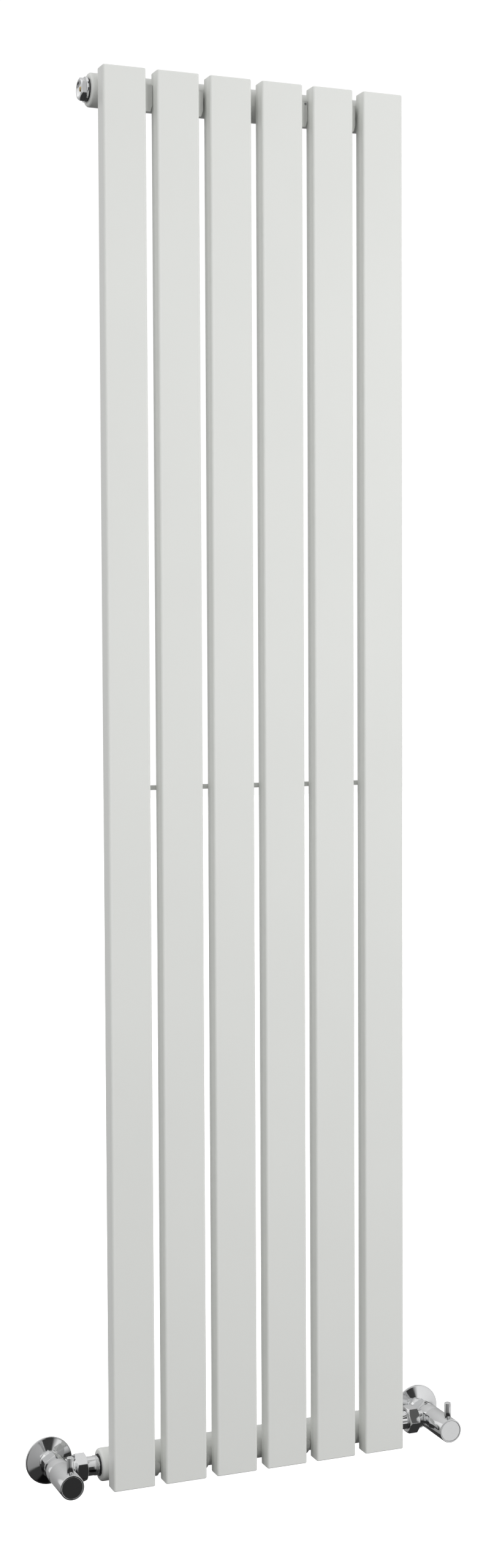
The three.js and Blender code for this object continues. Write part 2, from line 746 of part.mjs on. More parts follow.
function handleGeometry() {
  const skirt = VALVE_RADIUS - 1.15;
  const recess = VALVE_RADIUS - 1.35;
  const hubCounterbore = 5;
  const barrel = turnedRing([
    [HANDLE_START, skirt],
    [HANDLE_START, VALVE_RADIUS - 0.4],
    [HANDLE_START + 0.4, VALVE_RADIUS],
    [HANDLE_FRONT - 0.6, VALVE_RADIUS],
    [HANDLE_FRONT, VALVE_RADIUS - 0.6],
    [HANDLE_FRONT, recess],
    [CAP_SEAT, recess],
    [CAP_SEAT, hubCounterbore],
    [HUB_FRONT, hubCounterbore],
    [HUB_FRONT, SPINDLE_RADIUS + GAP],
    [HUB_BACK, SPINDLE_RADIUS + GAP],
    [HUB_BACK, skirt],
  ], 'out');
  const pinHole = rod(PIN_FOOT - GAP, PIN_TOP, PIN_RADIUS + GAP, 'up', MEDIUM).translate(0, -PIN_PLACE, 0);
  return cut(barrel, pinHole);
}

function handlePinGeometry() {
  return turnedSolid([
    [PIN_FOOT, PIN_RADIUS],
    [PIN_TOP - 0.6, PIN_RADIUS],
    [PIN_TOP, PIN_RADIUS - 0.6],
  ], 'up', MEDIUM).translate(0, -PIN_PLACE, 0);
}

function handleCapGeometry() {
  const radius = VALVE_RADIUS - 1.7;
  return turnedSolid([
    [CAP_SEAT + GAP, radius],
    [HANDLE_FRONT - 0.7, radius],
    [HANDLE_FRONT - 0.3, radius - 0.4],
  ], 'out');
}

function handleScrewGeometry() {
  const seat = HUB_FRONT + GAP;
  const front = seat + 2.5;
  const shank = 1.9;
  const head = 3.7;
  const keyRadius = 1.6;
  return turnedSolid([
    [SPINDLE_HOLE_FLOOR + 1.2, shank],
    [seat, shank],
    [seat, head],
    [front - 0.4, head],
    [front, head - 0.4],
    [front, keyRadius],
    [front - 1.4, keyRadius],
  ], 'out', COARSE);
}

for (const [side, sign] of Object.entries(sides)) {
  const valve = new THREE.Group();
  valve.position.set(sign * VALVE_X, 0, -HEADER_HEIGHT);
  radiator.add(valve);
  const outlet = side === 'left' ? 'right' : 'left';
  const unionTurn = side === 'left' ? 0 : Math.PI / 6;

  addPiece(valve, `${side}_supply_pipe`, supplyPipeGeometry(), 'chrome');
  addPiece(valve, `${side}_wall_collar`, wallCollarGeometry(), 'chrome');
  addPiece(valve, `${side}_compression_nut`, compressionNutGeometry(), 'chrome');
  addPiece(valve, `${side}_olive`, oliveGeometry(), 'brass');
  addPiece(valve, `${side}_valve_body`, valveBodyGeometry(outlet), 'chrome');
  addPiece(valve, `${side}_bonnet`, bonnetGeometry(), 'brass');
  addPiece(valve, `${side}_spindle`, spindleGeometry(), 'brass');
  addPiece(valve, `${side}_spindle_seal`, spindleSealGeometry(), 'rubber');
  addPiece(valve, `${side}_jumper`, jumperGeometry(), 'brass');
  addPiece(valve, `${side}_valve_washer`, valveWasherGeometry(), 'rubber');
  addPiece(valve, `${side}_handle`, handleGeometry(), 'chrome');
  addPiece(valve, `${side}_handle_pin`, handlePinGeometry(), 'chrome');
  addPiece(valve, `${side}_handle_cap`, handleCapGeometry(), 'chrome');
  addPiece(valve, `${side}_handle_screw`, handleScrewGeometry(), 'steel');

  const union = new THREE.Group();
  union.position.set(0, -HEADER_TO_WALL, 0);
  valve.add(union);
  const seal = sealRing(VALVE_REACH - 0.8, SEAL_RING, SEAL_CORD, outlet);
  addPiece(union, `${side}_union_nut`, unionNutGeometry(outlet, unionTurn), 'chrome');
  addPiece(union, `${side}_tailpiece`, tailpieceGeometry(outlet), 'chrome');
  addPiece(union, `${side}_tail_seal`, seal, 'rubber');
}

export default radiator;
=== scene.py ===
"""Finished looks of a vertical flat-panel radiator with two angled valves, as a Blender add-on.

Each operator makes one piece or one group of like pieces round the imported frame, and the panel in
the 3D view's sidebar lists them. Lengths in the shape code are millimetres, and a mesh is scaled to
metres as it is made. Every piece keeps its object at the origin, with its place in its mesh.
"""

import functools
import json
import math

import bmesh
import bpy
from mathutils import Matrix, Vector

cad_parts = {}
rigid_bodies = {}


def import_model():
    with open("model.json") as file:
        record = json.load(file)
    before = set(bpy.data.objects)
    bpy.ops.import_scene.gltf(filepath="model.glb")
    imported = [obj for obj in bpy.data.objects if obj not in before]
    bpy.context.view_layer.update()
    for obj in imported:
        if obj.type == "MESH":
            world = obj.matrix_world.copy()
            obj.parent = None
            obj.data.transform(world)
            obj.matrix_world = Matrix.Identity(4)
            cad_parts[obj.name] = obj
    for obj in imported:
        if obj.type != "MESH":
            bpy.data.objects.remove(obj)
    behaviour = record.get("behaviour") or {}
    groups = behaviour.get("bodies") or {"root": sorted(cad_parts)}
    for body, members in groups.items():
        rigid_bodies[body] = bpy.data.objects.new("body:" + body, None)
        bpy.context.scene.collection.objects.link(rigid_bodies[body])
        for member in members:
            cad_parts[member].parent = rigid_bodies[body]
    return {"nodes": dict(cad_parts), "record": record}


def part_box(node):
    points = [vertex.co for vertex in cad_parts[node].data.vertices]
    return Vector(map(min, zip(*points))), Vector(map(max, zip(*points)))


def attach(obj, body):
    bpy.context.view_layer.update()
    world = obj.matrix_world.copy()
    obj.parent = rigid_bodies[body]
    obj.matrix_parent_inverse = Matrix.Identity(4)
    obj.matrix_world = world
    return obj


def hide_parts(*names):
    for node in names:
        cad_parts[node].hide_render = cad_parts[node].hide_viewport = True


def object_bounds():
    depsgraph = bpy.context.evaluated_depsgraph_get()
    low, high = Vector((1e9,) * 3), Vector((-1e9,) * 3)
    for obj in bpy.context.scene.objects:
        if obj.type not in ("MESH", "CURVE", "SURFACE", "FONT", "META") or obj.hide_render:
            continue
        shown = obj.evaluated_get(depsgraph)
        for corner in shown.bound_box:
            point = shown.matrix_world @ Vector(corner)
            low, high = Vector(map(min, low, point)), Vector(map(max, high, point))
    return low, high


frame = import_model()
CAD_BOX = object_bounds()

bl_info = {
    "name": "Flat-Panel Radiator",
    "version": (1, 0, 0),
    "blender": (4, 5, 0),
    "location": "View3D > Sidebar > Radiator",
    "description": "Builds the panels, headers, brackets, vent and valves of a vertical radiator",
    "category": "Add Mesh",
}

MM = 0.001
SIDES = ("left", "right")
LEVELS = ("top", "bottom")
PANELS = [f"panel_{i + 1}" for i in range(6)]
BODY_OF = {
    node: body
    for body, nodes in frame["record"]["behaviour"]["bodies"].items()
    for node in nodes
}
SLOT_OF = {row["node"]: row["material_slot"] for row in frame["record"]["subparts"]}

# Sizes in millimetres that several pieces share.
CLEARANCE = 0.3
PLUG_CREST = 10.1
PLUG_ROOT = 9.2
SEAL_GROOVE = 9.8
COARSE_PITCH = 1.8
UNION_CREST = 12.2
TAIL_SHANK = 10.2
NUT_BORE = 10.9
PIPE_BORE = 7.9
SPINDLE_RADIUS = 3.0


# ---------------------------------------------------------------- sizes and colours

class EnamelSettings(bpy.types.PropertyGroup):
    """Powder coat on the panels, headers and brackets."""

    colour: bpy.props.FloatVectorProperty(
        name="Colour", description="Colour of the white coat", subtype="COLOR", size=3,
        min=0, max=1, default=(0.79, 0.80, 0.775))
    roughness: bpy.props.FloatProperty(
        name="Roughness", description="Satin sheen of the coat",
        subtype="FACTOR", min=0, max=1, default=0.36)
    peel_size: bpy.props.FloatProperty(
        name="Orange Peel Size", description="Distance between the ripples of the coat",
        unit="LENGTH",
        default=0.0022)
    peel_height: bpy.props.FloatProperty(
        name="Orange Peel Height", description="Height of the ripples of the coat", unit="LENGTH",
        default=0.00003)


class PlatingSettings(bpy.types.PropertyGroup):
    """Chrome plate on the valves and plugs."""

    colour: bpy.props.FloatVectorProperty(
        name="Colour", description="Colour of the chrome", subtype="COLOR", size=3,
        min=0, max=1, default=(0.80, 0.805, 0.81))
    roughness: bpy.props.FloatProperty(
        name="Roughness", description="Blur of the reflections",
        subtype="FACTOR", min=0, max=1, default=0.05)
    ripple_height: bpy.props.FloatProperty(
        name="Ripple Height", description="Waviness that polishing leaves",
        unit="LENGTH", default=0.00001)


class ShapeSettings(bpy.types.PropertyGroup):
    """Small sizes that the frame doesn't hold."""

    panel_edge: bpy.props.FloatProperty(
        name="Panel Edge", description="Radius of a panel's long edges",
        unit="LENGTH", default=0.0025)
    panel_end: bpy.props.FloatProperty(
        name="Panel End", description="Radius round a panel's ends", unit="LENGTH", default=0.0012)
    socket_edge: bpy.props.FloatProperty(
        name="Socket Edge", description="Radius of a socket's end", unit="LENGTH", default=0.0045)
    segments: bpy.props.IntProperty(
        name="Segments", description="Facets round a turned piece", min=24, max=192, default=96)


class StageSettings(bpy.types.PropertyGroup):
    """Floor, lights and camera."""

    floor_drop: bpy.props.FloatProperty(
        name="Floor Drop", description="Distance from the radiator down to the floor",
        unit="LENGTH", default=0.15)
    floor_size: bpy.props.FloatProperty(
        name="Floor Size", description="Side of the floor", unit="LENGTH", default=30.0)
    floor_glow: bpy.props.FloatProperty(
        name="Floor Glow", description="Light that the floor gives out, to keep it near white",
        default=0.6)
    key_power: bpy.props.FloatProperty(
        name="Key Power", description="Power of the large light at the right",
        unit="POWER", default=32.0)
    fill_power: bpy.props.FloatProperty(
        name="Fill Power", description="Power of the light at the left", unit="POWER", default=17.0)
    walls: bpy.props.FloatProperty(
        name="Walls", description="Brightness of the studio's walls", default=0.52)
    right_screen: bpy.props.FloatProperty(
        name="Right Screen", description="Brightness of the screen at the right", default=0.55)
    left_screen: bpy.props.FloatProperty(
        name="Left Screen", description="Brightness of the screen at the left", default=0.45)
    camera_place: bpy.props.FloatVectorProperty(
        name="Camera Place", description="Where the camera stands", subtype="TRANSLATION", size=3,
        default=(-0.8703, -2.2106, 0.1177))
    camera_turn: bpy.props.FloatVectorProperty(
        name="Camera Turn", description="Tilt, roll and heading of the camera",
        subtype="EULER", size=3,
        default=(math.radians(-2.862), math.radians(0.267), math.radians(-21.803)))
    camera_lens: bpy.props.FloatProperty(
        name="Lens", description="Focal length on a 24 mm high sensor",
        subtype="DISTANCE_CAMERA", default=32.83)


SETTINGS = {
    "enamel_settings": EnamelSettings,
    "plating_settings": PlatingSettings,
    "shape_settings": ShapeSettings,
    "stage_settings": StageSettings,
}


# ---------------------------------------------------------------- node trees

class Value:
    """A node's output that Python's operators work on."""

    def __init__(self, tree, socket):
        self.tree = tree
        self.socket = socket

    def _math(self, operation, first, second):
        return self.tree.node("ShaderNodeMath", {"operation": operation}, {0: first, 1: second})

    def __add__(self, other):
        return self._math("ADD", self, other)

    def __radd__(self, other):
        return self._math("ADD", other, self)

    def __sub__(self, other):
        return self._math("SUBTRACT", self, other)

    def __rsub__(self, other):
        return self._math("SUBTRACT", other, self)

    def __mul__(self, other):
        return self._math("MULTIPLY", self, other)

    def __rmul__(self, other):
        return self._math("MULTIPLY", other, self)


class Tree:
    """A node tree, filled by one method."""

    def __init__(self, tree):
        self.nodes = tree.nodes
        self.links = tree.links

    def node(self, kind, settings=None, sockets=None, output=0):
        """Adds a node, sets it, feeds its sockets and returns one of its outputs as a Value."""
        made = self.nodes.new(kind)
        for key, setting in (settings or {}).items():
            setattr(made, key, setting)
        for key, given in (sockets or {}).items():
            for value in given if isinstance(given, list) else [given]:
                if isinstance(value, Value):
                    self.links.new(value.socket, made.inputs[key])
                else:
                    made.inputs[key].default_value = value
        return Value(self, made.outputs[output]) if made.outputs else None


class Shader(Tree):
    """The node tree of a material or a world."""

    def __init__(self, owner):
        self.owner = owner
        owner.use_nodes = True
        super().__init__(owner.node_tree)
        self.nodes.clear()

    def place(self):
        """Object coordinates, in metres."""
        return self.node("ShaderNodeTexCoord", output="Object")

    def noise(self, scale, detail=2.0, roughness=0.5):
        """Noise between about 0 and 1, with features of about 1 / scale metres."""
        return self.node("ShaderNodeTexNoise", None, {
            "Vector": self.place(), "Scale": scale, "Detail": detail, "Roughness": roughness,
        }, output="Fac")

    def tint(self, colour, amount, mask):
        """The colour, made darker by up to that amount where the mask is 1."""
        dark = [c * (1 - amount) for c in colour]
        return self.node("ShaderNodeMix", {"data_type": "RGBA"}, {
            "Factor": mask, 6: (*colour, 1), 7: (*dark, 1)}, output=2)

    def step(self, value, start, end):
        """Rises smoothly from 0 where the value is at the start to 1 where it is at the end."""
        return self.node("ShaderNodeMapRange", {"interpolation_type": "SMOOTHSTEP"}, {
            "Value": value, "From Min": start, "From Max": end})

    def bump(self, height, distance):
        """A normal from a height of 0 to 1, at that distance in metres."""
        return self.node("ShaderNodeBump", None, {
            "Strength": 1.0, "Distance": distance, "Height": height})

    def surface(self, **sockets):
        """The surface shader, from named sockets."""
        shader = self.node("ShaderNodeBsdfPrincipled", None, {
            key.replace("_", " "): value for key, value in sockets.items()})
        self.node("ShaderNodeOutputMaterial", None, {"Surface": shader})
        return self.owner


# ---------------------------------------------------------------- materials

def settings(name):
    return getattr(bpy.context.scene, name)


def enamel(name="white enamel", coarse=1.0, painted_shade=1.0):
    """Satin powder coat: fine orange peel, a finer grain on it and very faint clouding, with a
    factor that darkens the whole coat as painted shade.
    """
    look = settings("enamel_settings")
    shader = Shader(bpy.data.materials.new(name))
    peel = shader.noise(1 / (look.peel_size * coarse), detail=1.5)
    grain = shader.noise(6000.0, detail=1.0)
    cloud = shader.noise(9.0, detail=3.0)
    # Painted shade: a factor below 1 darkens the whole white coat, standing in for the shadow that
    # falls on the brackets between the panels.
    colour = [c * painted_shade for c in look.colour]
    return shader.surface(
        Base_Color=shader.tint(colour, 0.035, cloud),
        Roughness=look.roughness + 0.10 * (peel - 0.5) + 0.06 * (cloud - 0.5),
        Normal=shader.bump(peel + 0.12 * grain, look.peel_height * coarse),
        Coat_Weight=0.12,
        Coat_Roughness=0.2,
    )


def chrome():
    """Bright plate: a mirror with the slow ripple of polishing and faint wiping haze."""
    look = settings("plating_settings")
    shader = Shader(bpy.data.materials.new("chrome plate"))
    ripple = shader.noise(90.0, detail=1.0)
    haze = shader.noise(260.0, detail=4.0, roughness=0.65)
    return shader.surface(
        Base_Color=shader.tint(look.colour, 0.05, haze),
        Metallic=1.0,
        Roughness=look.roughness + 0.05 * haze * haze,
        Normal=shader.bump(ripple, look.ripple_height),
    )


def brass():
    """Turned brass: warm, with a fine grain bumped into its surface and a little tarnish."""
    shader = Shader(bpy.data.materials.new("turned brass"))
    tarnish = shader.noise(420.0, detail=4.0, roughness=0.6)
    marks = shader.noise(3000.0, detail=2.0)
    return shader.surface(
        Base_Color=shader.tint((0.78, 0.60, 0.30), 0.35, tarnish),
        Metallic=1.0,
        Roughness=0.2 + 0.22 * tarnish,
        Normal=shader.bump(marks, 0.00001),
    )


def zinc():
    """Zinc-plated steel: grey, with a soft crystalline mottle."""
    shader = Shader(bpy.data.materials.new("zinc plate"))
    crystals = shader.node("ShaderNodeTexVoronoi", None, {
        "Vector": shader.place(), "Scale": 900.0}, output="Color")
    mottle = shader.node("ShaderNodeRGBToBW", None, {"Color": crystals})
    return shader.surface(
        Base_Color=shader.tint((0.50, 0.51, 0.53), 0.3, mottle),
        Metallic=1.0,
        Roughness=0.28 + 0.15 * mottle,
        Normal=shader.bump(shader.noise(2500.0), 0.00001),
    )


def rubber():
    """Black rubber: matt, with a fine grain and a little bloom."""
    shader = Shader(bpy.data.materials.new("black rubber"))
    bloom = shader.noise(700.0, detail=4.0)
    return shader.surface(
        Base_Color=shader.tint((0.028, 0.028, 0.030), 0.5, bloom),
        Roughness=0.55 + 0.3 * bloom,
        Normal=shader.bump(shader.noise(5000.0), 0.00002),
    )


FINISHES = {
    "enamel": enamel,
    # The brackets wear the same white coat as the panels, made 7 % darker as painted shade.
    "bracket_coat": lambda: enamel("bracket enamel", coarse=0.7, painted_shade=0.93),
    "chrome": chrome,
    "rubber": rubber,
    "brass": brass,
    "steel": zinc,
}


@functools.cache
def finish_of(slot):
    """The slot's material, made the first time that it is asked for."""
    return FINISHES[slot]()


# ---------------------------------------------------------------- placing pieces

class Turning:
    """The axis, ends and radius of a turned CAD node, in millimetres.

    The axis runs along one of the directions, and a distance along it counts from the frame's
    origin, so along "out" it is the distance from the wall.
    """

    DIRECTIONS = {"right": Vector((1, 0, 0)), "left": Vector((-1, 0, 0)),
                  "out": Vector((0, -1, 0)), "up": Vector((0, 0, 1))}

    def __init__(self, node, direction):
        low, high = (Vector(corner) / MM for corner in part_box(node))
        self.axis = self.DIRECTIONS[direction]
        middle = (low + high) / 2
        size = high - low
        self.start, self.end = sorted((low.dot(self.axis), high.dot(self.axis)))
        self.centre = middle - self.axis * middle.dot(self.axis)
        across = size - Vector([abs(a) for a in self.axis]) * abs(size.dot(self.axis))
        self.radius = max(across) / 2
        self.side = Vector((0, 0, 1)) if abs(self.axis.z) < 0.5 else Vector((1, 0, 0))
        self.depth = self.axis.cross(self.side)

    @property
    def extent(self):
        """Both ends along the axis, and the radius."""
        return self.start, self.end, self.radius

    def point(self, along, radius, angle):
        """A point at that distance along the axis, radius and angle round it, in metres."""
        radial = self.side * math.cos(angle) + self.depth * math.sin(angle)
        return (self.centre + self.axis * along + radial * radius) * MM


def linked(name, data):
    """A new object of that data, in the scene."""
    thing = bpy.data.objects.new(name, data)
    bpy.context.scene.collection.objects.link(thing)
    return thing


def new_piece(name, mesh, node, smooth_angle=32.0):
    """Puts a mesh in the scene as the finished form of a CAD node."""
    piece = linked(name, mesh)
    slot = SLOT_OF[node]
    mesh.name = name
    mesh.materials.clear()
    mesh.materials.append(finish_of(slot))
    mesh.shade_smooth()
    mesh.set_sharp_from_angle(angle=math.radians(smooth_angle))
    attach(piece, BODY_OF[node])
    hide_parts(node)
    return piece


def bevel(piece, width, segments=3, angle=35.0, weighted=True):
    """Rounds a piece's sharp edges, and keeps its flat faces flat to the light."""
    edge = piece.modifiers.new("edge", "BEVEL")
    edge.width = width * MM
    edge.segments = segments
    edge.limit_method = "ANGLE"
    edge.angle_limit = math.radians(angle)
    edge.use_clamp_overlap = True
    if weighted:
        normals = piece.modifiers.new("flat faces", "WEIGHTED_NORMAL")
        normals.weight = 100
        normals.keep_sharp = False


def applied(piece):
    """The piece's mesh with its modifiers applied."""
    depsgraph = bpy.context.evaluated_depsgraph_get()
    return bpy.data.meshes.new_from_object(piece.evaluated_get(depsgraph))


def discard(piece):
    mesh = piece.data
    bpy.data.objects.remove(piece)
    bpy.data.meshes.remove(mesh)


def mesh_of(shell, name):
    """A mesh from a bmesh, which is used up."""
    mesh = bpy.data.meshes.new(name)
    shell.to_mesh(mesh)
    shell.free()
    return mesh


def combined(target, tool, operation="DIFFERENCE"):
    """The target mesh cut by or joined to the tool, as a new mesh. Both are used up."""
    body = linked("target", target)
    other = linked("tool", tool)
    change = body.modifiers.new("shape", "BOOLEAN")
    change.operation = operation
    change.solver = "EXACT"
    change.object = other
    mesh = applied(body)
    discard(body)
    discard(other)
    return mesh


# ---------------------------------------------------------------- turned and hexagonal shapes

def soften(profile, steps=4):
    """A closed outline of (along, radius) or (along, radius, fillet), with its fillets as arcs."""
    points = []
    count = len(profile)
    nearly_straight = math.radians(88)
    for i, corner in enumerate(profile):
        here = Vector(corner[:2])
        fillet = corner[2] if len(corner) > 2 else 0
        before = Vector(profile[i - 1][:2])
        after = Vector(profile[(i + 1) % count][:2])
        to_before = before - here
        to_after = after - here
        if not fillet or to_before.length == 0 or to_after.length == 0:
            points.append(here)
            continue
        half = to_before.angle(to_after) / 2
        if half > nearly_straight:
            points.append(here)
            continue
        back = min(fillet / math.tan(half), 0.49 * to_before.length, 0.49 * to_after.length)
        radius = back * math.tan(half)
        inwards = (to_before.normalized() + to_after.normalized()).normalized()
        middle = here + inwards * (radius / math.sin(half))
        first = here + to_before.normalized() * back - middle
        last = here + to_after.normalized() * back - middle
        turn = first.angle_signed(last)
        for step in range(steps + 1):
            share = step / steps
            points.append(middle + Matrix.Rotation(-turn * share, 2) @ first)
    return points


def thread(start, end, crest, root, pitch):
    """The ridges of a screw thread between two distances, as outline points."""
    count = max(1, int((end - start) / pitch))
    points = []
    for i in range(count):
        ridge = start + i * pitch
        points += [(ridge, root), (ridge + 0.35 * pitch, crest), (ridge + 0.55 * pitch, crest)]
    points.append((start + count * pitch, root))
    return points


def loft(name, rings, place, segments):
    """A closed ring of a mesh through rings, each a function from an angle to (along, radius)."""
    shell = bmesh.new()
    rows = []
    for ring in rings:
        row = []
        for step in range(segments):
            angle = 2 * math.pi * step / segments
            along, radius = ring(angle)
            row.append(shell.verts.new(place.point(along, radius, angle)))
        rows.append(row)
    for row, following in zip(rows, rows[1:] + rows[:1]):
        for step in range(segments):
            ahead = (step + 1) % segments
            shell.faces.new((row[step], row[ahead], following[ahead], following[step]))
    bmesh.ops.remove_doubles(shell, verts=shell.verts, dist=1e-7)
    bmesh.ops.dissolve_degenerate(shell, edges=shell.edges, dist=1e-8)
    bmesh.ops.recalc_face_normals(shell, faces=shell.faces)
    if shell.calc_volume(signed=True) < 0:
        bmesh.ops.reverse_faces(shell, faces=shell.faces)
    return mesh_of(shell, name)


def turned(name, profile, place, steps=4, segments=None):
    """A turned mesh from a closed outline. Points on the axis have a radius of 0."""
    outline = soften(profile, steps)
    return loft(name, fixed_rings(outline), place, segments or settings("shape_settings").segments)


def turned_piece(node, ending, profile, place, **detail):
    """A piece turned from a closed outline, in place of a CAD node."""
    name = f"{node}_{ending}"
    return new_piece(name, turned(name, profile, place, **detail), node)


def hexagon_radius(angle, across_flats, turn):
    """Distance from the axis to a hexagon's outline, with its corners eased."""
    apothem = across_flats / 2
    eased = 0.0775
    sector = math.radians(60)
    offset = (angle - turn + sector / 2) % sector - sector / 2
    straight = apothem / math.cos(offset)
    limit = apothem / math.cos(sector / 2) - eased
    return min(straight, limit)


def hex_rings(start, end, across_flats, turn, face_radius):
    """The outside of a chamfered hexagon, from the face at its start to the face at its end."""
    slope = math.tan(math.radians(30))

    def rim(angle):
        return hexagon_radius(angle, across_flats, turn)

    def depth(angle):
        return max(0.0, rim(angle) - face_radius) * slope

    return [
        lambda angle: (start, face_radius),
        lambda angle: (start + depth(angle), rim(angle)),
        lambda angle: (end - depth(angle), rim(angle)),
        lambda angle: (end, face_radius),
    ]


def fixed_rings(points):
    """Round rings, from (along, radius) points."""
    return [lambda angle, spot=tuple(spot[:2]): spot for spot in points]


def block_mesh(name, low, high):
    """A box between two corners in millimetres."""
    shell = bmesh.new()
    bmesh.ops.create_cube(shell, size=1.0)
    size = [h - l for l, h in zip(low, high)]
    middle = [(h + l) / 2 for l, h in zip(low, high)]
    for vert in shell.verts:
        vert.co = Vector([(c * s + m) * MM for c, s, m in zip(vert.co, size, middle)])
    return mesh_of(shell, name)


def key_mesh(place, start, end, radius):
    """A plain hexagonal prism along an axis, for cutting key sockets."""
    sides = 6
    shell = bmesh.new()
    rows = []
    for along in (start, end):
        corners = [place.point(along, radius, 2 * math.pi * i / sides) for i in range(sides)]
        row = [shell.verts.new(corner) for corner in corners]
        rows.append(row)
        shell.faces.new(row)
    for i in range(sides):
        ahead = (i + 1) % sides
        shell.faces.new((rows[0][i], rows[0][ahead], rows[1][ahead], rows[1][i]))
    bmesh.ops.recalc_face_normals(shell, faces=shell.faces)
    return mesh_of(shell, "key")


# ---------------------------------------------------------------- geometry nodes

class Recipe(Tree):
    """A geometry node tree with named inputs, run on an empty object to give a mesh."""

    SOCKETS = {"float": "NodeSocketFloat", "int": "NodeSocketInt", "vector": "NodeSocketVector",
               "material": "NodeSocketMaterial"}

    def __init__(self, name, **inputs):
        self.group = bpy.data.node_groups.new(name, "GeometryNodeTree")
        self.group.is_modifier = True
        super().__init__(self.group)
        face = self.group.interface
        self.ids = {}
        for label, kind in inputs.items():
            title = label.replace("_", " ").title()
            socket = face.new_socket(title, in_out="INPUT", socket_type=self.SOCKETS[kind])
            self.ids[label] = socket.identifier
        face.new_socket("Geometry", in_out="OUTPUT", socket_type="NodeSocketGeometry")
        self.source = self.nodes.new("NodeGroupInput")
        self.sink = self.nodes.new("NodeGroupOutput")

    def given(self, label):
        """A named input, as a Value."""
        return Value(self, self.source.outputs[list(self.ids).index(label)])

    def finish(self, geometry):
        """Realizes the instances, sets the material and ends the tree."""
        real = self.node("GeometryNodeRealizeInstances", None, {"Geometry": geometry})
        done = self.node("GeometryNodeSetMaterial", None, {
            "Geometry": real, "Material": self.given("material")})
        self.links.new(done.socket, self.sink.inputs[0])

    def run(self, name, **values):
        """Runs the tree with those values and returns the mesh."""
        holder = linked(name, bpy.data.meshes.new(name))
        change = holder.modifiers.new("recipe", "NODES")
        change.node_group = self.group
        for label, value in values.items():
            change[self.ids[label]] = value
        mesh = applied(holder)
        mesh.name = name
        discard(holder)
        return mesh


def panel_recipe():
    """A flat tube: a rounded rectangle raised to its height, closed at both ends."""
    recipe = Recipe("flat panel", width="float", depth="float", height="float", edge="float",
                    bottom="vector", material="material")
    outline = recipe.node("GeometryNodeCurvePrimitiveQuadrilateral", None, {
        "Width": recipe.given("width"), "Height": recipe.given("depth")})
    rounded = recipe.node("GeometryNodeFilletCurve", {"mode": "POLY"}, {
        "Curve": outline, "Count": 8, "Radius": recipe.given("edge")})
    base = recipe.node("GeometryNodeFillCurve", {"mode": "NGONS"}, {"Curve": rounded})
    raised = recipe.node("GeometryNodeExtrudeMesh", {"mode": "FACES"}, {
        "Mesh": base, "Offset": (0, 0, 1), "Offset Scale": recipe.given("height"),
        "Individual": False})
    floor = recipe.node("GeometryNodeFlipFaces", None, {"Mesh": base})
    both = recipe.node("GeometryNodeJoinGeometry", None, {"Geometry": [raised, floor]})
    closed = recipe.node("GeometryNodeMergeByDistance", None, {"Geometry": both, "Distance": 1e-6})
    placed = recipe.node("GeometryNodeTransform", None, {
        "Geometry": closed, "Translation": recipe.given("bottom")})
    recipe.finish(placed)
    return recipe


@functools.cache
def seal_recipe():
    """A round rubber cord swept round a circle, turned and moved to its place."""
    recipe = Recipe("seal ring", ring="float", cord="float", centre="vector", turn="vector",
                    material="material")
    path = recipe.node("GeometryNodeCurvePrimitiveCircle", {"mode": "RADIUS"}, {
        "Resolution": 96, "Radius": recipe.given("ring")})
    section = recipe.node("GeometryNodeCurvePrimitiveCircle", {"mode": "RADIUS"}, {
        "Resolution": 20, "Radius": recipe.given("cord")})
    swept = recipe.node("GeometryNodeCurveToMesh", None, {"Curve": path, "Profile Curve": section})
    turned_ring = recipe.node("GeometryNodeTransform", None, {
        "Geometry": swept, "Rotation": recipe.given("turn")})
    placed = recipe.node("GeometryNodeTransform", None, {
        "Geometry": turned_ring, "Translation": recipe.given("centre")})
    recipe.finish(placed)
    return recipe


def weld_recipe():
    """A weld: overlapping flat drops in a row along X, each a little different."""
    recipe = Recipe("weld bead", length="float", radius="float", count="int", centre="vector",
                    seed="int", material="material")
    half = recipe.given("length") * 0.5
    left = half * -1.0
    start = recipe.node("ShaderNodeCombineXYZ", None, {"X": left})
    end = recipe.node("ShaderNodeCombineXYZ", None, {"X": half})
    row = recipe.node("GeometryNodeMeshLine", {"mode": "END_POINTS"}, {
        "Count": recipe.given("count"), "Start Location": start, "Offset": end})
    drop = recipe.node("GeometryNodeMeshUVSphere", None, {
        "Segments": 12, "Rings": 8, "Radius": recipe.given("radius")})
    size = recipe.node("FunctionNodeRandomValue", {"data_type": "FLOAT"}, {
        2: 0.88, 3: 1.12, "Seed": recipe.given("seed")}, output=1)
    drops = recipe.node("GeometryNodeInstanceOnPoints", None, {
        "Points": row, "Instance": drop, "Scale": size})
    placed = recipe.node("GeometryNodeTransform", None, {
        "Geometry": drops, "Translation": recipe.given("centre")})
    recipe.finish(placed)
    return recipe


# ---------------------------------------------------------------- operators

class PieceOperator(bpy.types.Operator):
    """Base of the operators below, which all add finished pieces."""

    bl_options = {"REGISTER", "UNDO"}

    def execute(self, context):
        self.make()
        return {"FINISHED"}


class RADIATOR_OT_panels(PieceOperator):
    """The six flat panels, each a closed tube with rounded edges and ends"""

    bl_idname = "radiator.panels"
    bl_label = "Panels"

    def make(self):
        shape = settings("shape_settings")
        recipe = panel_recipe()
        for node in PANELS:
            low, high = (Vector(corner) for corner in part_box(node))
            size = high - low
            middle = (low + high) / 2
            mesh = recipe.run(node + "_shell", width=size.x, depth=size.y, height=size.z,
                              edge=shape.panel_edge, bottom=(middle.x, middle.y, low.z),
                              material=finish_of("enamel"))
            piece = new_piece(node + "_shell", mesh, node)
            bevel(piece, shape.panel_end / MM, segments=4, angle=60)


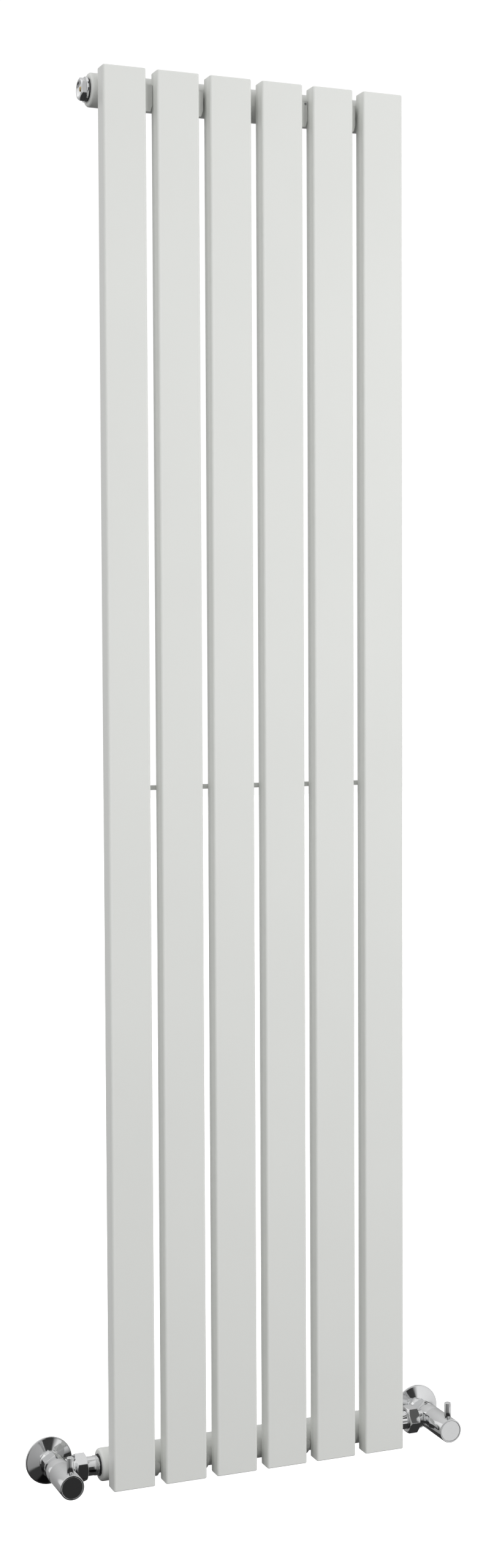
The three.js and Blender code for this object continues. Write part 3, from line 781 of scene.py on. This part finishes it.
class RADIATOR_OT_headers(PieceOperator):
    """The two header tubes with the welds that hold the panels, and the thin rail between them"""

    bl_idname = "radiator.headers"
    bl_label = "Headers"

    def make(self):
        wall = 2.0
        recipe = weld_recipe()
        for level in LEVELS:
            node = f"{level}_header"
            tube = Turning(node, "right")
            bore = tube.radius - wall
            turned_piece(node, "tube", [
                (tube.start, bore), (tube.end, bore),
                (tube.end, tube.radius), (tube.start, tube.radius)], tube)
            self.welds(recipe, level, tube)
        low, high = (Vector(corner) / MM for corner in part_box("mid_rail"))
        rail = new_piece("mid_rail_bar", block_mesh("mid_rail_bar", low, high), "mid_rail")
        bevel(rail, 0.6)

    @staticmethod
    def welds(recipe, level, tube):
        """A weld above and below the line where each panel touches the tube."""
        bead = 1.5
        rise = 8.2
        inset = 3.0
        drops = 30
        back = tube.radius - 0.55 * (tube.radius - math.sqrt(tube.radius ** 2 - rise ** 2))
        joined = bmesh.new()
        for number, panel in enumerate(PANELS):
            low, high = (Vector(corner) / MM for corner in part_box(panel))
            for up in (-1, 1):
                centre = Vector((
                    (low.x + high.x) / 2, tube.centre.y - back, tube.centre.z + up * rise)) * MM
                weld = recipe.run(
                    f"weld_{level}_{number}", length=(high.x - low.x - 2 * inset) * MM,
                    radius=bead * MM, count=drops, centre=centre, seed=2 * number + up,
                    material=finish_of("enamel"))
                joined.from_mesh(weld)
                bpy.data.meshes.remove(weld)
        mesh = mesh_of(joined, f"{level}_header_welds")
        mesh.materials.append(finish_of("enamel"))
        mesh.shade_smooth()
        piece = linked(mesh.name, mesh)
        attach(piece, "root")


class RADIATOR_OT_sockets(PieceOperator):
    """The four threaded sockets that close the headers' ends"""

    bl_idname = "radiator.sockets"
    bl_label = "Sockets"

    def make(self):
        round_edge = settings("shape_settings").socket_edge / MM
        spigot_length = 6.0
        spigot_step = 2.3
        crest = 10.5
        for level in LEVELS:
            for side in SIDES:
                node = f"{level}_{side}_socket"
                place = Turning(node, side)
                start, end, radius = place.extent
                shoulder = start + spigot_length
                inside = thread(start + 0.6, end - 1.2, crest + 0.9, crest, COARSE_PITCH)
                profile = [
                    (end, crest + 1.2, 0.3),
                    (end, radius, round_edge),
                    (shoulder, radius),
                    (shoulder, radius - spigot_step),
                    (start, radius - spigot_step, 0.4),
                    (start, crest + 0.6),
                    *inside,
                ]
                turned_piece(node, "ring", profile, place, steps=8)


class RADIATOR_OT_brackets(PieceOperator):
    """The four bent-steel wall brackets, with eased edges, and the two lock screws"""

    bl_idname = "radiator.brackets"
    bl_label = "Brackets"

    def make(self):
        for level in LEVELS:
            for side in SIDES:
                node = f"{level}_{side}_bracket"
                piece = new_piece(node + "_strap", self.cleaned(node), node)
                bevel(piece, 0.45, segments=2, angle=40)
        for side in SIDES:
            node = f"top_{side}_lock_screw"
            place = Turning(node, "out")
            start, end, radius = place.extent
            root = radius - 0.25
            key = 0.5
            profile = [
                (start, 0), (start, 0.6), (start + 0.4, root),
                *thread(start + 0.5, end - 0.3, radius, root, 0.5),
                (end, root), (end, key + 0.1), (end - 0.9, key),
                (end - 1, 0)]
            turned_piece(node, "grub", profile, place, segments=32)

    @staticmethod
    def cleaned(node):
        """A copy of the CAD node's mesh with its shared corners merged and flat faces whole."""
        shell = bmesh.new()
        shell.from_mesh(frame["nodes"][node].data)
        bmesh.ops.remove_doubles(shell, verts=shell.verts, dist=1e-6)
        bmesh.ops.dissolve_limit(
            shell, angle_limit=math.radians(1), verts=shell.verts, edges=shell.edges)
        return mesh_of(shell, node + "_strap")


def plug_thread(place, flange):
    """The threaded end of a plug or tail, up to the seal's groove."""
    return [
        (place.start, PLUG_ROOT),
        *thread(place.start + 0.4, flange - 2.3, PLUG_CREST, PLUG_ROOT, COARSE_PITCH),
        (flange - 1.9, SEAL_GROOVE),
        (flange, SEAL_GROOVE),
    ]


class RADIATOR_OT_vent(PieceOperator):
    """The air vent: flanged hexagon plug with a dished face, its bleed screw and its seal"""

    bl_idname = "radiator.vent"
    bl_label = "Air Vent"

    def make(self):
        place = Turning("vent_plug", "left")
        start, end, radius = place.extent
        flange = end - 7.8
        hexagon_start = flange + 2.4
        across_flats = 21.0
        turn = math.radians(30)
        air_hole = 1.2
        screw_bore = 2.9
        seat = end - 15.4
        dish = 8.2
        floor = end - 2.6
        rings = fixed_rings([
            (start, air_hole), *plug_thread(place, flange),
            (flange, radius - 0.5), (flange + 0.5, radius),
            (hexagon_start - 0.5, radius), (hexagon_start, radius - 0.5),
            (hexagon_start, 10.2)])
        hexagon = hex_rings(hexagon_start, end, across_flats, turn, 10.0)
        rings.append(lambda angle: (hexagon_start, hexagon_radius(angle, across_flats, turn)))
        rings += hexagon[2:]
        rings += fixed_rings([
            (end, dish + 0.5), (end - 0.4, dish), (end - 1.2, dish - 0.7),
            (end - 2.3, dish - 2.6), (floor, 4.2), (floor, screw_bore),
            (seat, screw_bore), (seat, air_hole)])
        mesh = loft("vent_plug_body", rings, place, settings("shape_settings").segments)
        new_piece("vent_plug_body", mesh, "vent_plug", smooth_angle=28)
        self.bleed_screw()
        make_seal("vent_seal", "left")

    @staticmethod
    def bleed_screw():
        place = Turning("bleed_screw", "left")
        start, end, radius = place.extent
        neck = radius - 0.5
        profile = [
            (start, 0), (start, 0.6, 0.2), (start + 1.4, neck),
            *thread(start + 1.6, end - 3.2, radius, neck, 0.8),
            (end - 3.0, radius), (end, radius, 0.35), (end, 0)]
        shank = turned("shank", profile, place, segments=48)
        centre = place.centre
        slot_half = 0.45
        slot_depth = 1.1
        slot = block_mesh(
            "slot", (-(end + 1), centre.y - slot_half, centre.z - 4),
            (-(end - slot_depth), centre.y + slot_half, centre.z + 4))
        piece = new_piece("bleed_screw_turned", combined(shank, slot), "bleed_screw")
        bevel(piece, 0.08, segments=1, angle=50, weighted=False)


class RADIATOR_OT_blanking_plug(PieceOperator):
    """The blanking plug at the other top corner, with its key socket and seal"""

    bl_idname = "radiator.blanking_plug"
    bl_label = "Blanking Plug"

    def make(self):
        place = Turning("blanking_plug", "right")
        start, end, radius = place.extent
        flange = end - 3.0
        profile = [(start, 0), *plug_thread(place, flange), (flange, radius, 0.4),
                   (end, radius, 1.0), (end, 0)]
        key_depth = 2.0
        key_corner = 5.8
        head = turned("head", profile, place)
        key = key_mesh(place, end - key_depth, end + 1, key_corner)
        piece = new_piece("blanking_plug_head", combined(head, key), "blanking_plug")
        bevel(piece, 0.2, segments=2, angle=50, weighted=False)
        make_seal("blanking_seal", "right")


def make_seal(node, direction):
    """One rubber ring in place of a CAD seal."""
    place = Turning(node, direction)
    start, end, radius = place.extent
    cord = (end - start) / 2 / math.cos(math.radians(30))
    middle = (place.centre + place.axis * (start + end) / 2) * MM
    turn = (0, math.pi / 2, 0) if direction in ("left", "right") else (math.pi / 2, 0, 0)
    mesh = seal_recipe().run(
        node + "_ring", ring=(radius - cord) * MM, cord=cord * MM, centre=middle, turn=turn,
        material=finish_of("rubber"))
    new_piece(node + "_ring", mesh, node)


class RADIATOR_OT_supplies(PieceOperator):
    """Where the pipes leave the wall: pipe ends, wall collars, compression nuts and olives"""

    bl_idname = "radiator.supplies"
    bl_label = "Pipes and Collars"

    def make(self):
        for side in SIDES:
            self.pipe(f"{side}_supply_pipe")
            self.collar(f"{side}_wall_collar")
            self.nut(f"{side}_compression_nut")
            self.olive(f"{side}_olive")

    @staticmethod
    def pipe(node):
        place = Turning(node, "out")
        start, end, radius = place.extent
        bore = radius - 1.0
        turned_piece(node, "tube", [
            (start, bore), (end, bore),
            (end, radius, 0.3), (start, radius)], place)

    @staticmethod
    def collar(node):
        """A shallow spun disc with a rolled rim and a short neck round the pipe."""
        place = Turning(node, "out")
        start, end, radius = place.extent
        rim = radius
        neck = 9.4
        profile = [
            (start, rim - 1.5), (start, rim, 0.5), (start + 2.0, rim, 0.9),
            (start + 2.0, rim - 1.4, 0.5), (start + 4.7, neck + 1.6, 1.5),
            (end, neck, 0.5), (end, PIPE_BORE, 0.3), (start + 4.2, PIPE_BORE),
            (start + 3.4, neck + 1.6), (start + 0.9, rim - 1.8)]
        turned_piece(node, "disc", profile, place, steps=6)

    @staticmethod
    def nut(node):
        place = Turning(node, "out")
        start, end, _ = place.extent
        across_flats = 24.0
        turn = math.radians(30)
        outside = hex_rings(start, end, across_flats, turn, 11.7)
        shoulder = start + 2.7
        bore = fixed_rings([
            (end, NUT_BORE + CLEARANCE), (end - 0.4, NUT_BORE), (shoulder, NUT_BORE),
            (shoulder, PIPE_BORE), (start, PIPE_BORE)])
        mesh = loft(node + "_hexagon", outside + bore, place, settings("shape_settings").segments)
        piece = new_piece(node + "_hexagon", mesh, node, smooth_angle=20)
        bevel(piece, 0.25, segments=2, angle=18)

    @staticmethod
    def olive(node):
        place = Turning(node, "out")
        start, end, radius = place.extent
        bore = radius - 1.7
        profile = [(start, bore), (start, radius - 0.9, 0.2),
                   ((start + end) / 2, radius, 2.5),
                   (end, radius - 0.9, 0.2), (end, bore)]
        turned_piece(node, "ring", profile, place, segments=64)


class RADIATOR_OT_valve_bodies(PieceOperator):
    """The valve bodies with their side outlets, union nuts, tailpieces and seals"""

    bl_idname = "radiator.valve_bodies"
    bl_label = "Valve Bodies"

    def make(self):
        for side in SIDES:
            outlet = "right" if side == "left" else "left"
            self.body(side, outlet)
            self.union_nut(side, outlet)
            self.tailpiece(side, outlet)
            make_seal(f"{side}_tail_seal", outlet)

    @staticmethod
    def body(side, outlet):
        node = f"{side}_valve_body"
        handle = Turning(f"{side}_handle", "out")
        ends = Turning(node, "out")
        reach = Turning(node, outlet)
        nut = Turning(f"{side}_union_nut", outlet)
        barrel = handle.radius
        flange = barrel - 0.45
        waist = barrel - 1.1
        spigot = 10.6
        shoulder = ends.start + 6.4
        outside = [
            (ends.start, 0), (ends.start, spigot, 0.5),
            *thread(ends.start + 1.0, shoulder - 0.8, spigot, spigot - 0.8, 1.5),
            (shoulder, 10.2), (shoulder, flange, 0.5), (shoulder + 1.7, flange, 0.5),
            (shoulder + 1.9, waist, 0.2), (shoulder + 2.5, waist, 0.2),
            (shoulder + 2.5, barrel, 0.5), (ends.end, barrel, 0.15), (ends.end, 0)]

        pipe_socket = 7.8
        pipe_stop = 24.5
        seat = 27.5
        seat_bore = 4.5
        chamber = 8.5
        inlet = [
            (ends.start - 1, 0), (ends.start - 1, pipe_socket), (pipe_stop, pipe_socket),
            (pipe_stop, seat_bore), (seat - 0.5, seat_bore), (seat, seat_bore + 0.7),
            (seat, chamber), (ends.end + 1, chamber), (ends.end + 1, 0)]

        axis = reach.axis.dot(handle.centre)
        neck = 8.6
        root = UNION_CREST - 0.9
        outlet_bore = 6.0
        branch = [
            (axis, 0), (axis, neck), (nut.start - 0.6, neck, 1.0), (nut.start + 0.8, root, 0.4),
            *thread(nut.start + 1.2, reach.end - 0.6, UNION_CREST, root, COARSE_PITCH),
            (reach.end, root, 0.2), (reach.end, 0)]
        bore = [
            (axis, 0), (axis, outlet_bore), (reach.end + 1, outlet_bore), (reach.end + 1, 0)]

        mesh = combined(turned("barrel", outside, handle), turned("branch", branch, nut), "UNION")
        mesh = combined(mesh, turned("inlet", inlet, handle, segments=72))
        mesh = combined(mesh, turned("bore", bore, nut, segments=72))
        new_piece(node + "_casting", mesh, node)

    @staticmethod
    def union_nut(side, outlet):
        node = f"{side}_union_nut"
        place = Turning(node, outlet)
        start, end, _ = place.extent
        across_flats = 28.0
        turn = math.radians(30) if side == "left" else 0.0
        outside = hex_rings(start, end, across_flats, turn, 13.6)
        lip = 10.6
        shoulder = end - 1.7
        root = 13.3
        crest = 12.5
        inside = thread(start + 1.0, end - 2.6, root, crest, COARSE_PITCH)
        bore = fixed_rings([
            (end, lip + 0.3), (end - 0.3, lip), (shoulder, lip), (shoulder, root),
            *reversed(inside), (start, crest + 0.4)])
        mesh = loft(node + "_hexagon", outside + bore, place, settings("shape_settings").segments)
        piece = new_piece(node + "_hexagon", mesh, node, smooth_angle=20)
        bevel(piece, 0.3, segments=2, angle=18)

    @staticmethod
    def tailpiece(side, outlet):
        """Flange, plain shank, three gripping ridges, the seal's groove and the socket thread."""
        node = f"{side}_tailpiece"
        place = Turning(node, outlet)
        start, end, radius = place.extent
        bore = 6.4
        flange_end = start + 2.2
        groove = start + 17.9
        groove_end = groove + 1.9
        pitch = 1.25
        ridges = []
        for i in range(3):
            here = groove - 4.3 + i * pitch
            there = here + 0.75 * pitch
            ridges += [(here, TAIL_SHANK - 0.1, 0.1), (here, TAIL_SHANK + 0.4, 0.25),
                       (there, TAIL_SHANK + 0.4, 0.25), (there, TAIL_SHANK - 0.5, 0.1)]
        profile = [
            (start, bore, 0.3), (start, radius, 0.4),
            (flange_end, radius, 0.4), (flange_end, TAIL_SHANK), *ridges,
            (groove, SEAL_GROOVE), (groove_end, SEAL_GROOVE),
            *thread(groove_end + 0.2, end - 0.6, PLUG_CREST, PLUG_ROOT, COARSE_PITCH),
            (end, PLUG_ROOT), (end, bore)]
        turned_piece(node, "turned", profile, place, steps=3)


class RADIATOR_OT_headworks(PieceOperator):
    """What opens the valves: bonnets, spindles, spindle seals, jumpers and washers"""

    bl_idname = "radiator.headworks"
    bl_label = "Headworks"

    def make(self):
        for side in SIDES:
            self.bonnet(f"{side}_bonnet")
            self.spindle(f"{side}_spindle")
            self.jumper(f"{side}_jumper")
            self.washer(f"{side}_valve_washer")
            make_seal(f"{side}_spindle_seal", "out")

    @staticmethod
    def bonnet(node):
        place = Turning(node, "out")
        start, end, radius = place.extent
        guide = 6.1
        guide_end = start + 7.0
        spindle_hole = SPINDLE_RADIUS + 0.35
        crest = 8.1
        nose = 7.2
        flange = start + 4.4
        flange_end = flange + 3.0
        seal_seat = 4.9
        seal_end = end - 2.2
        profile = [
            (start, guide), (start, crest, 0.4),
            *thread(start + 1.0, flange - 1.2, crest, crest - 0.7, 1.0),
            (flange, 7.6), (flange, radius, 0.4), (flange_end, radius, 0.4),
            (flange_end, nose, 0.5), (end, nose, 0.5), (end, seal_seat),
            (seal_end, seal_seat), (seal_end, spindle_hole), (guide_end, spindle_hole),
            (guide_end, guide)]
        turned_piece(node, "turned", profile, place, segments=72)

    @staticmethod
    def spindle(node):
        place = Turning(node, "out")
        start, end, radius = place.extent
        root = SPINDLE_RADIUS - 0.5
        collar = start + 10.7
        collar_end = collar + 2.2
        screw_hole = 2.2
        profile = [
            (start, 0), (start, root, 0.2),
            *thread(start + 0.4, collar - 1.0, SPINDLE_RADIUS, root, 1.0),
            (collar, SPINDLE_RADIUS - 0.4), (collar, radius, 0.2),
            (collar_end, radius, 0.2), (collar_end, SPINDLE_RADIUS),
            (end, SPINDLE_RADIUS, 0.3), (end, screw_hole),
            (end - 9.7, screw_hole), (end - 10.2, 0)]
        turned_piece(node, "turned", profile, place, segments=48)

    @staticmethod
    def jumper(node):
        place = Turning(node, "out")
        start, end, radius = place.extent
        bore = SPINDLE_RADIUS + CLEARANCE
        floor = start + 1.9
        profile = [
            (start, 0), (start, radius, 0.4), (end, radius, 0.4),
            (end, bore + 0.1, 0.3), (floor, bore), (floor, 0)]
        turned_piece(node, "turned", profile, place, segments=64)

    @staticmethod
    def washer(node):
        place = Turning(node, "out")
        start, end, radius = place.extent
        profile = [
            (start, 0), (start, radius, 0.3),
            (end, radius, 0.3), (end, 0)]
        turned_piece(node, "disc", profile, place, segments=64)


class RADIATOR_OT_handles(PieceOperator):
    """The cylindrical handles with their lever pins, end caps and screws"""

    bl_idname = "radiator.handles"
    bl_label = "Handles"

    def make(self):
        for side in SIDES:
            self.barrel(side)
            self.pin(f"{side}_handle_pin")
            self.cap(f"{side}_handle_cap")
            self.screw(f"{side}_handle_screw")

    @staticmethod
    def barrel(side):
        node = f"{side}_handle"
        place = Turning(node, "out")
        start, end, radius = place.extent
        pin = Turning(f"{side}_handle_pin", "up")
        cap = Turning(f"{side}_handle_cap", "out")
        skirt = radius - 1.15
        recess = cap.radius + 0.15
        recess_floor = cap.start - CLEARANCE
        counterbore = 5.0
        hub_back = 69.5
        hub_front = 77.0
        hub_bore = SPINDLE_RADIUS + CLEARANCE
        profile = [
            (start, skirt), (start, radius, 0.15),
            (end, radius, 0.5), (end, recess, 0.2),
            (recess_floor, recess), (recess_floor, counterbore), (hub_front, counterbore),
            (hub_front, hub_bore), (hub_back, hub_bore), (hub_back, skirt)]
        pin_hole = pin.radius + 0.12
        pin_floor = pin.start - CLEARANCE
        hole = [(pin_floor, 0), (pin_floor, pin_hole), (pin.end, pin_hole), (pin.end, 0)]
        barrel = turned("barrel", profile, place, steps=5)
        drill = turned("drill", hole, pin, segments=64)
        new_piece(node + "_barrel", combined(barrel, drill), node)

    @staticmethod
    def pin(node):
        place = Turning(node, "up")
        start, end, radius = place.extent
        profile = [
            (start, 0), (start, radius - 0.2),
            (start + 0.4, radius), (end, radius, 0.7), (end, 0)]
        turned_piece(node, "rod", profile, place, steps=5, segments=64)

    @staticmethod
    def cap(node):
        """A flat disc with a fine eased edge."""
        place = Turning(node, "out")
        start, end, radius = place.extent
        profile = [
            (start, 0), (start, radius, 0.2), (end, radius, 0.25),
            (end, radius - 0.35), (end, radius - 0.6), (end, 0)]
        turned_piece(node, "disc", profile, place)

    @staticmethod
    def screw(node):
        place = Turning(node, "out")
        start, end, radius = place.extent
        head = end - 2.5
        shank = 1.9
        root = 1.5
        key_radius = 1.6
        profile = [
            (start, 0), (start, root, 0.1),
            *thread(start + 0.4, head - 1.0, shank, root, 0.7),
            (head, 1.7), (head, radius, 0.2), (end, radius, 0.8), (end, 0)]
        screw = turned("screw", profile, place, segments=48)
        key = key_mesh(place, end - 1.4, end + 1, key_radius)
        new_piece(node + "_turned", combined(screw, key), node)


class RADIATOR_OT_stage(PieceOperator):
    """Pale floor, soft studio lights, bright surroundings and the camera"""

    bl_idname = "radiator.stage"
    bl_label = "Stage"

    def make(self):
        look = settings("stage_settings")
        low, high = (Vector(corner) for corner in CAD_BOX)
        self.floor(look, low)
        self.surroundings(look)
        middle = (low + high) / 2
        key_place = middle + Vector((1.25, -2.1, 0.55))
        fill_place = middle + Vector((-2.0, -1.6, 0.6))
        self.light("key light", look.key_power, (1.0, 1.8), key_place, middle)
        self.light("fill light", look.fill_power, (0.8, 1.8), fill_place, middle)
        self.camera(look)

    @staticmethod
    def floor(look, low):
        size = look.floor_size / MM / 2
        level = (low.z - look.floor_drop) / MM
        thickness = 20
        mesh = block_mesh("floor", (-size, -size, level - thickness), (size, size, level))
        floor = linked("floor", mesh)
        shader = Shader(bpy.data.materials.new("pale floor"))
        glow = shader.node("ShaderNodeEmission", None, {
            "Color": (1, 1, 1, 1), "Strength": look.floor_glow})
        pale = shader.node("ShaderNodeBsdfPrincipled", None, {
            "Base Color": shader.tint((0.94, 0.94, 0.94), 0.02, shader.noise(0.8)),
            "Roughness": 0.8})
        both = shader.node("ShaderNodeAddShader", None, {0: glow, 1: pale})
        shader.node("ShaderNodeOutputMaterial", None, {"Surface": both})
        mesh.materials.append(shader.owner)
        floor.visible_glossy = False
        floor.visible_diffuse = False

    @staticmethod
    def surroundings(look):
        """White to the camera. To the pieces, a studio of grey walls, screens and dark flags."""
        world = bpy.data.worlds.new("studio")
        bpy.context.scene.world = world
        studio = Shader(world)
        direction = studio.node("ShaderNodeTexCoord", output="Generated")
        x, y, z = (
            studio.node("ShaderNodeSeparateXYZ", None, {"Vector": direction}, output=axis)
            for axis in "XYZ")
        heading = studio.node("ShaderNodeMath", {"operation": "ARCTAN2"}, {0: x, 1: 0 - y})
        soft = 0.03

        def between(value, start, end):
            return studio.step(value, start - soft, start + soft) * (
                1 - studio.step(value, end - soft, end + soft))

        def screen(left, right, low, high):
            """1 in a rectangle of headings in degrees and heights, and 0 outside."""
            return between(heading, math.radians(left), math.radians(right)) * between(z, low, high)

        above = studio.step(z, -0.5, -0.44)
        walls = 0.05 + above * (look.walls + 0.5 * z)
        bright = walls + look.right_screen * screen(24, 100, -0.45, 0.75)
        bright = bright + look.left_screen * screen(-150, -70, -0.1, 0.8)
        strength = bright * (1 - 0.9 * screen(5, 21, -0.87, 0.14))
        strength = strength * (1 - 0.85 * screen(-66, -38, -0.55, 0.6))
        strength = strength * (1 - 0.9 * screen(50, 66, -0.3, 0.9))
        strength = strength * (1 - 0.9 * screen(23, 46, 0.42, 0.88))
        room = studio.node("ShaderNodeBackground", None, {
            "Color": (0.8, 0.8, 0.8, 1), "Strength": strength})
        backdrop = studio.node("ShaderNodeBackground", None, {
            "Color": (1, 1, 1, 1), "Strength": 1.05})
        seen = studio.node("ShaderNodeLightPath", output="Is Camera Ray")
        both = studio.node("ShaderNodeMixShader", None, {0: seen, 1: room, 2: backdrop})
        studio.node("ShaderNodeOutputWorld", None, {"Surface": both})

    @staticmethod
    def light(name, power, size, place, target):
        lamp = bpy.data.lights.new(name, "AREA")
        lamp.shape = "RECTANGLE"
        lamp.size, lamp.size_y = size
        lamp.energy = power
        thing = linked(name, lamp)
        thing.visible_glossy = False
        thing.location = place
        thing.rotation_euler = (target - place).to_track_quat("-Z", "Y").to_euler()

    @staticmethod
    def camera(look):
        lens = bpy.data.cameras.new("camera")
        lens.sensor_fit = "VERTICAL"
        lens.sensor_height = 24
        lens.lens = look.camera_lens
        lens.clip_end = 100
        thing = linked("camera", lens)
        tilt, roll, heading = look.camera_turn
        level = Matrix.Rotation(math.radians(90), 4, "X")
        turn = (Matrix.Rotation(heading, 4, "Z") @ Matrix.Rotation(tilt, 4, "X")
                @ Matrix.Rotation(roll, 4, "Y") @ level)
        thing.matrix_world = Matrix.Translation(look.camera_place) @ turn
        bpy.context.scene.camera = thing
        bpy.context.scene.view_settings.view_transform = "Standard"


# ---------------------------------------------------------------- registration

OPERATORS = (
    RADIATOR_OT_panels,
    RADIATOR_OT_headers,
    RADIATOR_OT_sockets,
    RADIATOR_OT_brackets,
    RADIATOR_OT_vent,
    RADIATOR_OT_blanking_plug,
    RADIATOR_OT_supplies,
    RADIATOR_OT_valve_bodies,
    RADIATOR_OT_headworks,
    RADIATOR_OT_handles,
    RADIATOR_OT_stage,
)


class VIEW3D_PT_radiator(bpy.types.Panel):
    """Lists the radiator's operators and settings in the sidebar"""

    bl_idname = "VIEW3D_PT_radiator"
    bl_label = "Radiator"
    bl_space_type = "VIEW_3D"
    bl_region_type = "UI"
    bl_category = "Radiator"

    def draw(self, context):
        for name, group in SETTINGS.items():
            box = self.layout.box()
            box.label(text=group.__name__.replace("Settings", ""))
            for key in group.__annotations__:
                box.prop(getattr(context.scene, name), key)
        for operator in OPERATORS:
            self.layout.operator(operator.bl_idname)


def register():
    for group in SETTINGS.values():
        bpy.utils.register_class(group)
    for name, group in SETTINGS.items():
        setattr(bpy.types.Scene, name, bpy.props.PointerProperty(type=group))
    for operator in OPERATORS:
        bpy.utils.register_class(operator)
    bpy.utils.register_class(VIEW3D_PT_radiator)


def unregister():
    bpy.utils.unregister_class(VIEW3D_PT_radiator)
    for operator in reversed(OPERATORS):
        bpy.utils.unregister_class(operator)
    for name in SETTINGS:
        delattr(bpy.types.Scene, name)
    for group in SETTINGS.values():
        bpy.utils.unregister_class(group)


def main():
    register()
    for operator in OPERATORS:
        group, name = operator.bl_idname.split(".")
        getattr(getattr(bpy.ops, group), name)()


if __name__ == "__main__":
    main()
